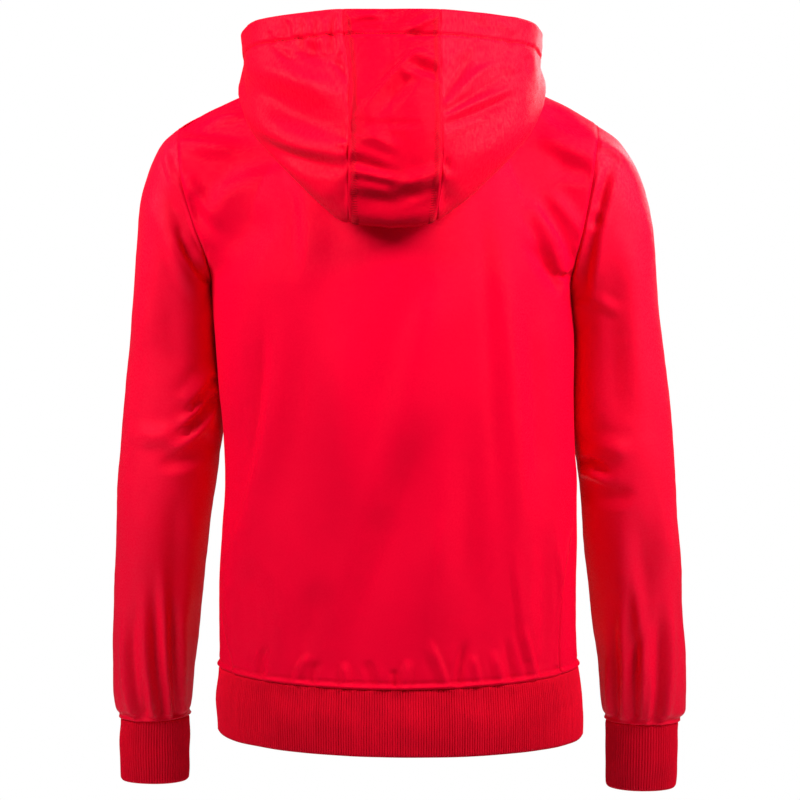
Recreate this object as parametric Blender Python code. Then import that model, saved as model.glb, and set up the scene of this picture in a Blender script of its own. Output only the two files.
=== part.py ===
"""Hooded pullover, filled out as if worn and seen with its hood down.

Metres, +Z up. The front faces -Y, the back +Y, the wearer's left is +X. The
origin is the middle of the neck opening, level with the high shoulder points.
Lengths in the tables are millimetres. Every piece is a closed cloth wall: a
grid of outer points, the same grid moved in by the wall, and a rim round it.
"""

import math

import bpy
import numpy as np

NAME = "hooded_pullover"
WALL = 1.5
RIB_WALL = 2.6
SEAM_GAP = 0.3

# Cells of each grid.
LOW_ROWS = 11
ARM_ROWS = 9
SHOULDER_COLUMNS = 4
PANEL_COLUMNS = 3
NECK_COLUMNS = 6
FRONT_NECK_COLUMNS = 6
SLEEVE_ROWS = 21
STAND_ROWS = 2
LINING_ROWS = 3
FOLD_ROWS = 4
CROWN_ROWS = 6
CUFF_ROWS = 2

# Neck seam, a half oval each way from the high shoulder point.
NECK_HALF_WIDTH = 78.0
NECK_BACK = 66.0
NECK_FRONT = 95.0
BACK_DROP = 18.0
FRONT_DROP = 75.0
LEFT_PANEL_ANGLE = 28.5
RIGHT_PANEL_ANGLE = 33.5
FRONT_END_ANGLE = 176.0
SHOULDER_CROWN = 6.5

# Rib knit: raised ribs for each plain column of the inside.
BAND_PLAIN_COLUMNS = 96
BAND_RIBS_PER_COLUMN = 4
CUFF_PLAIN_COLUMNS = 20
CUFF_RIBS_PER_COLUMN = 4
RIB_HEIGHT = 0.5

# Body below the armholes: a section for each height.
BODY = {
    "z": (-607, -590, -560, -520, -470, -420, -375, -315, -272, -240, -215),
    "left": (183, 182, 182, 182, 179, 176, 177, 182, 185, 187, 189),
    "right": (187, 185, 184, 184, 185, 185, 182, 181, 181, 179, 177),
    "left_seam_y": (52, 46, 28, 12, 6, 2, 0, 0, 0, 0, 0),
    "right_seam_y": (56, 56, 54, 50, 34, 14, 4, 0, 0, 0, 0),
}
CENTRE_BACK = {
    "v": (-1.0, -0.85, -0.6, -0.35, -0.1, 0.0, 0.25, 0.5, 0.75, 1.0),
    "y": (122, 120, 121, 124, 125, 124, 118, 107, 89, 66),
    "z": (-611, -555, -455, -352, -250, -209, -143, -92, -50, -18),
}
CENTRE_FRONT = {
    "v": (-1.0, -0.85, -0.6, -0.35, -0.1, 0.0, 0.25, 0.5, 0.75, 1.0),
    "y": (-120, -119, -121, -124, -125, -125, -121, -114, -105, -95),
    "z": (-607, -555, -455, -352, -250, -214, -172, -135, -104, -75),
}
# Armhole, from the underarm (step 0) to the shoulder point (step 1).
ARMHOLE = {
    "step": (0.0, 0.12, 0.28, 0.47, 0.66, 0.84, 1.0),
    "back_y": (0, 15, 31, 43, 44, 31, 0),
    "front_y": (0, -15, -29, -40, -41, -29, 0),
    "left_x": (189, 189, 192, 204, 215, 220, 221),
    "left_z": (-215, -206, -188, -153, -112, -75, -57),
    "right_x": (177, 177, 180, 188, 196, 202, 204),
    "right_z": (-222, -213, -194, -157, -112, -72, -54),
}
# Sleeves: each ring by its outer and inner points as seen from behind.
SLEEVE_LEFT = {
    "ring": (1, 2, 3, 4, 5, 6, 7, 8.5, 10, 12, 14, 16, 17.5, 19, 20, 21),
    "outer_x": (237, 252, 262, 266, 269, 272, 276, 282, 287, 292, 295, 299, 301, 302, 300, 294),
    "outer_z": (-71, -101, -138, -175, -212, -248, -284, -338, -392, -450, -510, -570, -610, -646, -667, -680),
    "inner_x": (191, 190, 188, 186, 184, 182, 180, 178, 184, 192, 200, 207, 212, 217, 220, 222),
    "inner_z": (-222, -231, -242, -256, -272, -291, -312, -350, -394, -450, -508, -568, -608, -644, -665, -678),
    "mid_y": (-2, -7, -14, -21, -26, -29, -31, -32, -34, -40, -51, -64, -73, -81, -85, -87),
    "depth": (49, 53, 55, 56, 56, 55, 54, 52, 50, 48, 46, 44, 43, 41, 37, 32),
}
SLEEVE_RIGHT = {
    "ring": (1, 2, 3, 4, 5, 6, 7, 8.5, 10, 12, 14, 16, 17.5, 19, 20, 21),
    "outer_x": (225, 245, 257, 263, 267, 271, 276, 283, 288, 292, 298, 302, 306, 308, 308, 300),
    "outer_z": (-69, -100, -136, -173, -210, -247, -284, -338, -392, -450, -510, -570, -610, -648, -670, -684),
    "inner_x": (180, 181, 180, 180, 179, 178, 178, 178, 186, 192, 198, 206, 212, 216, 219, 224),
    "inner_z": (-230, -239, -249, -262, -277, -295, -315, -351, -394, -450, -508, -568, -608, -646, -668, -682),
    "mid_y": (-2, -7, -14, -21, -26, -29, -31, -32, -34, -40, -51, -64, -73, -81, -85, -87),
    "depth": (49, 53, 55, 56, 56, 55, 54, 52, 50, 48, 46, 44, 43, 41, 37, 32),
}
# Cuffs: outer and inner points at the seam, the middle and the open end.
CUFF_LEFT = {
    "outer_x": (294, 297, 296),
    "outer_z": (-680, -716, -750),
    "inner_x": (222, 222, 224),
    "inner_z": (-678, -714, -750),
    "mid_y": (-87, -95, -102),
    "depth": (32, 31.5, 30),
}
CUFF_RIGHT = {
    "outer_x": (300, 301, 299),
    "outer_z": (-684, -722, -758),
    "inner_x": (224, 224, 226),
    "inner_z": (-682, -722, -758),
    "mid_y": (-87, -95, -102),
    "depth": (32, 31.5, 30),
}
# Hem band, downwards from its seam: how far out and down at its two sides.
BAND = {
    "left_out": (-1.0, 2.5, 0.0),
    "left_down": (0, 35, 69),
    "right_out": (-1.0, 4.0, 4.5),
    "right_down": (0, 37, 73),
}

# Hood, down on the back: a section each way from the centre back, by the
# angle of its point on the neck seam and the way that it runs outwards.
HOOD = {
    "angle": (0, 34, 50, 64, 80, 96, 114, 136, 158, 176),
    "way": (90, 87, 62, 36, 20, 3, -18, -42, -66, -84),
    "stand_out": (12, 12, 12, 11, 10, 9, 8, 7, 5, 4),
    "stand_up": (20, 20, 20, 20, 19, 18, 18, 14, 12, 10),
    "fold_out": (78, 84, 80, 80, 77, 70, 54, 36, 20, 12),
    "fold_z": (-157, -150, -105, -62, -27, -8, -12, -38, -60, -66),
    "bulge_out": (106, 112, 100, 88, 76, 69, 56, 39, 23, 15),
    "bulge_z": (-88, -84, -60, -32, 0, 10, 0, -24, -46, -57),
    "rim_out": (66, 74, 76, 78, 77, 70, 52, 34, 20, 12),
    "rim_z": (53, 53, 50, 46, 38, 29, 12, -12, -36, -50),
}
HOOD_LEAN = 4.5

# Largest folds, as seen from behind: their two ends, half width and depth.
BODY_FOLDS = {
    "side": (1, 1, 1, 1, 1, 1, 1, 1, 1, -1, -1, -1, -1, -1, -1),
    "x0": (212, -196, 190, -178, 128, -75, -50, 190, -205, 190, -178, 100, -90, 190, -205),
    "z0": (-62, -62, -192, -186, -180, -190, -200, -330, -405, -192, -186, -220, -240, -330, -405),
    "x1": (150, -140, 120, -110, 150, -112, 70, 270, -285, 120, -110, 130, -120, 270, -285),
    "z1": (-55, -50, -125, -130, -470, -560, -590, -415, -430, -130, -140, -480, -540, -410, -430),
    "half": (14, 14, 22, 22, 28, 26, 32, 16, 16, 22, 22, 28, 26, 16, 16),
    "depth": (-3, -3, -4, -4, -4, -4, -4, -3, -3, -4, -4, -4, -4, -3, -3),
}
HOOD_FOLDS = {
    "side": (1, 1, 1, 1),
    "x0": (155, 120, -14, -90),
    "z0": (-15, 25, 25, 20),
    "x1": (60, 60, 36, -60),
    "z1": (-80, -5, -70, -60),
    "half": (17, 15, 14, 16),
    "depth": (-6, -5, -4, -5),
}

MATERIALS = {
    "red_body": ((0.90, 0.000, 0.036, 1.0), 0.42),
    "red_sleeve": ((0.86, 0.002, 0.040, 1.0), 0.42),
    "red_hood": ((0.86, 0.002, 0.030, 1.0), 0.40),
    "red_rib": ((0.55, 0.002, 0.020, 1.0), 0.75),
}


def smooth(table, key, column, at):
    """One column of a table as a smooth curve through its rows, with no overshoot."""
    x = np.asarray(table[key], float)
    y = np.asarray(table[column], float)
    at = np.asarray(at, float)
    rise = np.diff(y) / np.diff(x)
    even = np.where(rise[1:] * rise[:-1] > 0, rise[1:] * rise[:-1], 0)
    slope = 2 * even / np.where(even > 0, rise[1:] + rise[:-1], 1)
    slope = np.concatenate([rise[:1], slope, rise[-1:]])
    i = np.clip(np.searchsorted(x, at) - 1, 0, len(x) - 2)
    step = x[i + 1] - x[i]
    t = np.clip((at - x[i]) / step, 0, 1)
    start = (1 + 2 * t) * (1 - t) ** 2 * y[i] + t * (1 - t) ** 2 * step * slope[i]
    end = t * t * (3 - 2 * t) * y[i + 1] + t * t * (t - 1) * step * slope[i + 1]
    return start + end


def bezier(a, b, c, d, t):
    """Points at t of the cubic curve from a to d, pulled towards b and c."""
    t = np.asarray(t)[..., None]
    return (1 - t) ** 3 * a + 3 * (1 - t) ** 2 * t * b + 3 * (1 - t) * t * t * c + t**3 * d


def hermite(a, way_a, b, way_b, t):
    """Points at t of the curve that leaves a along way_a and reaches b along way_b."""
    return bezier(a, a + way_a / 3, b - way_b / 3, b, t)


def unit(vectors):
    length = np.linalg.norm(vectors, axis=-1, keepdims=True)
    return vectors / np.maximum(length, 1e-9)


def neck_point(angle):
    """The neck seam at an angle from centre back (0) to centre front (180), left side."""
    turn = np.radians(np.asarray(angle, float))
    back = np.cos(turn) > 0
    lean = np.abs(np.cos(turn))
    x = NECK_HALF_WIDTH * np.sin(turn)
    y = np.where(back, NECK_BACK, NECK_FRONT) * np.cos(turn)
    z = -np.where(back, BACK_DROP * lean**1.5, FRONT_DROP * lean**1.5)
    return np.stack([x, y, z], axis=-1)


def back_angles(hand):
    """Neck angles from the shoulder point to the centre back, one column on the hood's panel seam."""
    seam = LEFT_PANEL_ANGLE if hand > 0 else RIGHT_PANEL_ANGLE
    side = np.linspace(90, seam, NECK_COLUMNS + 1)
    panel = np.linspace(seam, 0, PANEL_COLUMNS + 1)
    return np.concatenate([side, panel[1:]])


def front_angles():
    """Neck angles from the shoulder point to the centre front."""
    side = np.linspace(90, FRONT_END_ANGLE, FRONT_NECK_COLUMNS + 1)
    return np.concatenate([side, [180]])


def armhole_point(hand, face, step):
    """The armhole seam on one side of the body, on its back or front half."""
    side = "left" if hand > 0 else "right"
    y = smooth(ARMHOLE, "step", face + "_y", step)
    x = hand * smooth(ARMHOLE, "step", side + "_x", step)
    z = smooth(ARMHOLE, "step", side + "_z", step)
    return np.stack([x, y, z], axis=-1)


def body_half(hand, z):
    """Half the body's width at a height, brought to the underarm at its top."""
    side = "left" if hand > 0 else "right"
    underarm = armhole_point(hand, "back", 0.0)
    miss = abs(underarm[0]) - smooth(BODY, "z", side, underarm[2])
    return smooth(BODY, "z", side, z) + miss * np.clip(1 + (z - underarm[2]) / 60.0, 0, 1)


def side_seam_point(hand, v):
    """The side seam at v from the hem (-1) to the underarm (0)."""
    side = "left" if hand > 0 else "right"
    top = armhole_point(hand, "back", 0.0)[2]
    z = BODY["z"][0] + (v + 1) * (top - BODY["z"][0])
    half = body_half(hand, z)
    y = smooth(BODY, "z", side + "_seam_y", z)
    x = half * np.sqrt(np.maximum(1 - (y / 122.0) ** 2, 0))
    return np.stack([hand * x, y, z], axis=-1)


def half_row(hand, face, v, columns):
    """One row of a body panel from its outer edge to the centre line."""
    sign = 1.0 if face == "back" else -1.0
    centre = CENTRE_BACK if face == "back" else CENTRE_FRONT
    middle = np.array([0, smooth(centre, "v", "y", v), smooth(centre, "v", "z", v)])
    if v <= 0:
        edge = side_seam_point(hand, v)
        half = body_half(hand, edge[2])
        turn = math.asin(min(1.0, max(-1.0, edge[1] * sign / abs(middle[1]))))
        angle = turn + (math.pi / 2 - turn) * columns
        around = np.stack([hand * half * np.cos(angle), middle[1] * np.sin(angle), 0 * angle], axis=-1)
        around[:, 0] += (edge[0] - around[0, 0]) * (1 - columns) ** 2
        around[:, 1] += (edge[1] - around[0, 1]) * (1 - columns) ** 2
        around[:, 2] = edge[2] + (middle[2] - edge[2]) * np.sin(angle) ** 2
        around[0] = edge
        around[-1] = middle
        return around
    edge = armhole_point(hand, face, v)
    turn = math.asin(edge[1] / middle[1])
    across = abs(edge[0]) / math.cos(turn)
    pull = 4 / 3 * math.tan((math.pi / 2 - turn) / 4)
    lift = v**1.5
    leave = pull * np.array([-hand * across * math.sin(turn), middle[1] * math.cos(turn), 0.0])
    to_neck = np.array([-hand * across * 0.5, (middle[1] - edge[1]) * 0.2, (middle[2] - edge[2]) * 0.35])
    leave += lift * (to_neck - leave)
    arrive = np.array([hand * across * pull, 0.0, -6.0 * lift])
    return bezier(edge, edge + leave, middle + arrive, middle, columns)


def top_row(hand, face, columns):
    """The shoulder seam and the neck seam, from the shoulder point to the centre line."""
    tip = armhole_point(hand, face, 1.0)
    corner = neck_point(90.0)
    corner[0] *= hand
    t = np.linspace(0, 1, SHOULDER_COLUMNS + 1)
    shoulder = tip + (corner - tip) * t[:, None]
    shoulder[:, 2] += SHOULDER_CROWN * np.sin(math.pi * t)
    neck = neck_point(back_angles(hand) if face == "back" else front_angles())
    neck[:, 0] *= hand
    return np.concatenate([shoulder, neck[1:]])


def half_panel(hand, face):
    """Outer points of half a body panel, a row for each height from the hem up."""
    neck = back_angles(hand) if face == "back" else front_angles()
    count = SHOULDER_COLUMNS + len(neck) - 1
    columns = np.linspace(0, 1, count + 1)
    low = np.linspace(-1, 0, LOW_ROWS + 1)
    heights = np.concatenate([low, np.linspace(0, 1, ARM_ROWS + 1)[1:]])
    rows = np.array([half_row(hand, face, v, columns) for v in heights])
    miss = top_row(hand, face, columns) - rows[-1]
    hold = np.clip((heights - 0.30) / 0.70, 0, 1)
    hold = hold**2 * (3 - 2 * hold)
    rows += hold[:, None, None] * miss
    rows[-1] = top_row(hand, face, columns)
    return rows


def panel(face):
    """Outer points of the whole back or front, from the left edge to the right edge."""
    left = half_panel(1, face)
    right = half_panel(-1, face)
    grid = np.concatenate([left, right[:, -2::-1]], axis=1)
    return grid if face == "back" else grid[:, ::-1]


def ring(table, row, angles, hand):
    """An oval ring of a sleeve or cuff by its outer and inner points."""
    outer = np.array([table["outer_x"][row], table["mid_y"][row], table["outer_z"][row]], float)
    inner = np.array([table["inner_x"][row], table["mid_y"][row], table["inner_z"][row]], float)
    middle = (outer + inner) / 2
    reach = (outer - inner) / 2
    depth = np.array([0.0, table["depth"][row], 0.0])
    points = middle + np.cos(angles)[:, None] * reach + np.sin(angles)[:, None] * depth
    return points * np.array([hand, 1, 1])


def sleeve(hand):
    """Outer points of a sleeve: rings from the armhole to the cuff seam."""
    table = SLEEVE_LEFT if hand > 0 else SLEEVE_RIGHT
    steps = np.linspace(0, 1, ARM_ROWS + 1)
    up_back = armhole_point(hand, "back", steps)
    down_front = armhole_point(hand, "front", steps)[::-1]
    hole = np.concatenate([up_back, down_front[1:-1]])
    angles = math.pi - np.linspace(0, 2 * math.pi, 2 * ARM_ROWS + 1)[:-1]
    keys = {"ring": np.array(table["ring"], float)}
    for column in table:
        if column != "ring":
            keys[column] = np.array(table[column], float)
    whole = {name: smooth(keys, "ring", name, np.arange(1, SLEEVE_ROWS + 1)) for name in keys if name != "ring"}
    rings = [hole]
    rings += [ring(whole, row, angles, hand) for row in range(SLEEVE_ROWS)]
    grid = np.array(rings)
    # The first rings keep some of the armhole's own shape.
    flat = ring({k: [v[0]] for k, v in hole_oval(hole, hand).items()}, 0, angles, hand)
    for row, keep in ((1, 0.62), (2, 0.3), (3, 0.1)):
        grid[row] += keep * (hole - flat)
    return grid


def hole_oval(hole, hand):
    """The armhole as an oval ring, to compare with its true points."""
    top = hole[ARM_ROWS]
    low = hole[0]
    return {
        "outer_x": (abs(top[0]),),
        "outer_z": (top[2],),
        "inner_x": (abs(low[0]),),
        "inner_z": (low[2],),
        "mid_y": (0.0,),
        "depth": (46.0,),
    }


def cuff(hand, columns):
    """Outer points of a cuff, a row for its seam, its middle and its open end."""
    table = CUFF_LEFT if hand > 0 else CUFF_RIGHT
    angles = math.pi - np.linspace(0, 2 * math.pi, columns + 1)[:-1]
    return np.array([ring(table, row, angles, hand) for row in range(CUFF_ROWS + 1)])


def hem_loop(columns):
    """The hem seam all round, from the left side seam over the back."""
    back = panel("back")[0]
    front = panel("front")[0]
    loop = np.concatenate([back[:-1], front[:-1]])
    closed = np.concatenate([loop, loop[:1]])
    length = np.concatenate([[0], np.cumsum(np.linalg.norm(np.diff(closed, axis=0), axis=1))])
    extra = np.concatenate([closed[-4:-1], closed, closed[1:4]])
    reach = np.concatenate([length[-4:-1] - length[-1], length, length[1:4] + length[-1]])
    at = np.linspace(0, length[-1], columns + 1)[:-1]
    table = {"at": reach, "x": extra[:, 0], "y": extra[:, 1], "z": extra[:, 2]}
    return np.stack([smooth(table, "at", name, at) for name in ("x", "y", "z")], axis=-1)


def band(columns):
    """Outer points of the hem band, downwards from its seam."""
    loop = hem_loop(columns)
    along = np.roll(loop, -1, axis=0) - np.roll(loop, 1, axis=0)
    away = unit(np.stack([along[:, 1], -along[:, 0], 0 * along[:, 0]], axis=-1))
    away *= np.sign((away * loop).sum(axis=1))[:, None]
    share = (0.5 - 0.5 * loop[:, :1] / BODY["left"][0]).clip(0, 1)
    rows = []
    for row in range(len(BAND["left_out"])):
        out = BAND["left_out"][row] + share * (BAND["right_out"][row] - BAND["left_out"][row])
        down = BAND["left_down"][row] + share * (BAND["right_down"][row] - BAND["left_down"][row])
        level = (BODY["z"][0] - loop[:, 2:]) * row / (len(BAND["left_out"]) - 1)
        rows.append(loop + away * out + np.array([0, 0, 1.0]) * (level - down))
    return np.array(rows)


def hood_section(angle, hand):
    """One section of the hood, from the neck seam over the fold to the rim."""
    get = {name: smooth(HOOD, "angle", name, angle) for name in HOOD if name != "angle"}
    base = neck_point(angle)
    way = math.radians(get["way"])
    out = np.array([math.cos(way), math.sin(way), 0.0])
    up = np.array([0.0, 0.0, 1.0])
    flat = np.array([1.0, 1.0, 0.0])
    stand = base + out * get["stand_out"] + up * get["stand_up"]
    fold = base * flat + out * get["fold_out"] + up * get["fold_z"]
    bulge = base * flat + out * get["bulge_out"] + up * get["bulge_z"]
    rim = base * flat + out * get["rim_out"] + up * get["rim_z"]
    near = np.linalg.norm(fold - stand)
    round_fold = np.linalg.norm(bulge - fold)
    high = np.linalg.norm(rim - bulge)
    t = [np.linspace(0, 1, n + 1)[1:] for n in (STAND_ROWS, LINING_ROWS, FOLD_ROWS, CROWN_ROWS)]
    lean_in = unit(rim - bulge + up * 0.4 * high)
    curve = np.concatenate(
        [
            base[None],
            hermite(base, up * get["stand_up"] * 1.3, stand, out * get["stand_out"] * 1.3, t[0]),
            hermite(stand, out * near * 0.30, fold, out * near * 0.32, t[1]),
            hermite(fold, out * round_fold * 1.1, bulge, up * round_fold * 1.1, t[2]),
            hermite(bulge, up * high, rim, lean_in * high, t[3]),
        ]
    )
    away = np.clip(np.linalg.norm((curve - base) * flat, axis=1) / 60.0, 0, 1)
    curve[:, 0] = curve[:, 0] * hand + HOOD_LEAN * away
    return curve


def hood_grid(angles, hand):
    return np.array([hood_section(a, hand) for a in angles]).transpose(1, 0, 2)


def hood_pieces():
    """The centre panel and the two side panels, columns running left to right."""
    left_half = hood_grid(back_angles(1)[NECK_COLUMNS:], 1)
    right_half = hood_grid(back_angles(-1)[NECK_COLUMNS:], -1)
    middle = (left_half[:, -1] + right_half[:, -1]) / 2
    left_half[:, -1] = middle
    centre = np.concatenate([left_half, right_half[:, -2::-1]], axis=1)
    sides = []
    for hand in (1, -1):
        outward = np.concatenate([back_angles(hand)[: NECK_COLUMNS + 1][::-1], front_angles()[1:-1]])
        sides.append(hood_grid(outward, hand))
    return centre, sides[0][:, ::-1], sides[1]


def fold_depth(points, normals, folds):
    """How far each point moves along its normal for the folds of a table."""
    move = np.zeros(points.shape[:-1])
    for i in range(len(folds["side"])):
        a = np.array([folds["x0"][i], folds["z0"][i]], float)
        b = np.array([folds["x1"][i], folds["z1"][i]], float)
        flat = points[..., [0, 2]]
        t = ((flat - a) @ (b - a)) / ((b - a) @ (b - a))
        near = a + np.clip(t, 0, 1)[..., None] * (b - a)
        off = np.linalg.norm(flat - near, axis=-1) / folds["half"][i]
        facing = np.clip(normals[..., 1] * folds["side"][i], 0, 1)
        fade = np.sin(math.pi * np.clip(t, 0.08, 0.92)) ** 0.5
        move += folds["depth"][i] * np.exp(-(off**2)) * facing * fade
    return move


def grid_normals(grid, closed):
    """Outward normals of a grid; columns run left to right as seen from outside."""
    if closed:
        along = np.roll(grid, -1, axis=1) - np.roll(grid, 1, axis=1)
    else:
        along = np.gradient(grid, axis=1)
    up = np.gradient(grid, axis=0)
    return unit(np.cross(along, up))


def share_normals(grids, closed, turn):
    """Normals of every grid, averaged where pieces meet, and how far a mitre there reaches."""
    normals = {}
    weights = {}
    totals = {}
    for name, grid in grids.items():
        normals[name] = grid_normals(grid, closed[name]) * turn[name]
        weights[name] = np.ones(grid.shape[:2])
        if not closed[name]:
            weights[name][np.ix_((0, -1), (0, -1))] = 0.5
        if name in ("back", "front"):
            weights[name][LOW_ROWS, [0, -1]] = 0.5
        keys = np.round(grid * 50).astype(int)
        for index in np.ndindex(grid.shape[:2]):
            weight = weights[name][index]
            share = np.append(normals[name][index] * weight, weight)
            key = tuple(keys[index])
            totals[key] = totals.get(key, 0) + share
    mitres = {}
    for name, grid in grids.items():
        keys = np.round(grid * 50).astype(int)
        mitres[name] = np.ones(grid.shape[:2])
        for index in np.ndindex(grid.shape[:2]):
            total = totals[tuple(keys[index])]
            normals[name][index] = total[:3]
            mitres[name][index] = 1 / max(0.4, np.linalg.norm(total[:3]) / total[3])
        normals[name] = unit(normals[name])
    return normals, mitres


def pull_back(grid, normals, edges):
    """Moves the named borders of a grid into its own surface by half the seam gap."""
    grid = grid.copy()
    source = grid.copy()
    sides = {"first_row": (0, slice(None)), "last_row": (-1, slice(None)),
             "first_column": (slice(None), 0), "last_column": (slice(None), -1)}
    inner = {"first_row": (1, slice(None)), "last_row": (-2, slice(None)),
             "first_column": (slice(None), 1), "last_column": (slice(None), -2)}
    for edge in edges:
        way = source[inner[edge]] - source[sides[edge]]
        n = normals[sides[edge]]
        way = way - (way * n).sum(axis=-1, keepdims=True) * n
        grid[sides[edge]] += unit(way) * SEAM_GAP / 2
    return grid


def wall_mesh(outer, inner, closed, flip, cross_rows=()):
    """Points and faces of a wall between two grids; the outer one may be finer.

    A side rim's quads are split from the inside low to the outside high, or the
    other way in cross_rows, so that both sides of a twisted seam split alike.
    """
    rows, fine = outer.shape[:2]
    coarse = inner.shape[1]
    each = fine // coarse if closed else (fine - 1) // (coarse - 1)
    points = np.concatenate([outer.reshape(-1, 3), inner.reshape(-1, 3)])
    base = rows * fine
    faces = []
    for r in range(rows - 1):
        for c in range(fine if closed else fine - 1):
            d = (c + 1) % fine
            faces.append((r * fine + c, r * fine + d, (r + 1) * fine + d, (r + 1) * fine + c))
        for c in range(coarse if closed else coarse - 1):
            d = (c + 1) % coarse
            faces.append((base + r * coarse + c, base + (r + 1) * coarse + c,
                          base + (r + 1) * coarse + d, base + r * coarse + d))
    for r, last in ((0, False), (rows - 1, True)):
        for c in range(coarse if closed else coarse - 1):
            d = (c + 1) % coarse
            here = base + r * coarse + c
            there = base + r * coarse + d
            half = (each + 1) // 2
            strip = [r * fine + (c * each + k) % fine for k in range(each + 1)]
            rim = [(here, strip[k + 1], strip[k]) for k in range(half)]
            rim += [(there, strip[k + 1], strip[k]) for k in range(half, each)]
            rim.append((here, there, strip[half]))
            faces += [face[::-1] for face in rim] if last else rim
    if not closed:
        for c, last in ((0, True), (fine - 1, False)):
            k = base + (0 if c == 0 else coarse - 1)
            for r in range(rows - 1):
                low_out, high_out = r * fine + c, (r + 1) * fine + c
                low_in, high_in = k + r * coarse, k + (r + 1) * coarse
                if r in cross_rows:
                    rim = [(low_out, low_in, high_in), (low_out, high_in, high_out)]
                else:
                    rim = [(low_out, low_in, high_out), (low_in, high_in, high_out)]
                faces += [face[::-1] for face in rim] if last else rim
    if flip:
        faces = [face[::-1] for face in faces]
    return points, faces


def material(name):
    colour, roughness = MATERIALS[name]
    made = bpy.data.materials.get(name) or bpy.data.materials.new(name)
    made.use_nodes = True
    shader = made.node_tree.nodes["Principled BSDF"]
    shader.inputs["Base Color"].default_value = colour
    shader.inputs["Roughness"].default_value = roughness
    shader.inputs["Metallic"].default_value = 0.0
    return made


def add_piece(collection, name, look, points, faces):
    mesh = bpy.data.meshes.new(name)
    mesh.from_pydata((points * 0.001).tolist(), [], faces)
    mesh.validate()
    mesh.update()
    mesh.materials.append(material(look))
    mesh.polygons.foreach_set("use_smooth", [True] * len(mesh.polygons))
    made = bpy.data.objects.new(name, mesh)
    collection.objects.link(made)


def cloth_pieces(collection):
    """The body panels, sleeves and hood, which share their points at the seams."""
    centre, hood_left, hood_right = hood_pieces()
    grids = {
        "back": panel("back"),
        "front": panel("front"),
        "sleeve_left": sleeve(1),
        "sleeve_right": sleeve(-1),
        "hood_centre": centre,
        "hood_left": hood_left,
        "hood_right": hood_right,
    }
    closed = {name: name.startswith("sleeve") for name in grids}
    turn = {"back": 1, "front": 1, "sleeve_left": 1, "sleeve_right": -1,
            "hood_centre": 1, "hood_left": 1, "hood_right": 1}
    seams = {
        "back": ("first_row", "last_row", "first_column", "last_column"),
        "front": ("first_row", "last_row", "first_column", "last_column"),
        "sleeve_left": ("first_row", "last_row"),
        "sleeve_right": ("first_row", "last_row"),
        "hood_centre": ("first_row", "first_column", "last_column"),
        "hood_left": ("first_row", "last_column"),
        "hood_right": ("first_row", "first_column"),
    }
    looks = {"back": "red_body", "front": "red_body", "sleeve_left": "red_sleeve",
             "sleeve_right": "red_sleeve"}
    normals = share_normals(grids, closed, turn)[0]
    for name, grid in grids.items():
        hood = name.startswith("hood")
        move = fold_depth(grid, normals[name], HOOD_FOLDS if hood else BODY_FOLDS)
        if not hood:
            neck = np.linalg.norm(grid * np.array([1, 1, 1]), axis=-1)
            move *= np.clip((neck - 110) / 60, 0, 1)
        grids[name] = grid + normals[name] * move[..., None]
    normals, mitres = share_normals(grids, closed, turn)
    for name, grid in grids.items():
        level = {"back": 0, "front": 0, "sleeve_left": -1, "sleeve_right": -1}.get(name)
        if level is not None:
            normals[name][level, :, 2] = 0
            normals[name] = unit(normals[name])
        outer = pull_back(grid, normals[name], seams[name])
        inner = outer - normals[name] * WALL * mitres[name][..., None]
        cross = range(LOW_ROWS, LOW_ROWS + ARM_ROWS) if name == "front" else ()
        points, faces = wall_mesh(outer, inner, closed[name], turn[name] < 0, cross)
        add_piece(collection, name, looks.get(name, "red_hood"), points, faces)


def rib_pieces(collection):
    """The hem band and the cuffs: raised ribs outside, plain inside."""
    loops = {
        "hem_band": (band, BAND_PLAIN_COLUMNS, BAND_RIBS_PER_COLUMN, 1),
        "cuff_left": (lambda n: cuff(1, n), CUFF_PLAIN_COLUMNS, CUFF_RIBS_PER_COLUMN, 1),
        "cuff_right": (lambda n: cuff(-1, n), CUFF_PLAIN_COLUMNS, CUFF_RIBS_PER_COLUMN, -1),
    }
    for name, (shape, plain, ribs, hand) in loops.items():
        each = ribs * 2
        grid = shape(plain * each)
        turn = hand if name != "hem_band" else -1
        normals = grid_normals(grid, True) * turn
        normals[..., 2] = 0
        normals = unit(normals)
        if name == "hem_band":
            inwards = (normals[0] * grid[0]).sum(axis=1) < 0
            normals[:, inwards] *= -1
        outer = pull_back(grid, normals, ("first_row",))
        inner = (outer - normals * RIB_WALL)[:, ::each]
        outer[:, 1::2] += normals[:, 1::2] * RIB_HEIGHT
        points, faces = wall_mesh(outer, inner, True, turn < 0)
        add_piece(collection, name, "red_rib", points, faces)


def main():
    for item in list(bpy.data.objects):
        bpy.data.objects.remove(item, do_unlink=True)
    collection = bpy.data.collections.new(NAME)
    bpy.context.scene.collection.children.link(collection)
    cloth_pieces(collection)
    rib_pieces(collection)


main()
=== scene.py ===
"""Hooded pullover worn filled out, hood down: its cloth, ribs and sewing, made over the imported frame.

Laid out as an add-on and run as a script. Lengths in the tables are millimetres,
in the frame's own axes: the front faces -Y, the back +Y, the wearer's left is +X.
"""

import math

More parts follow.
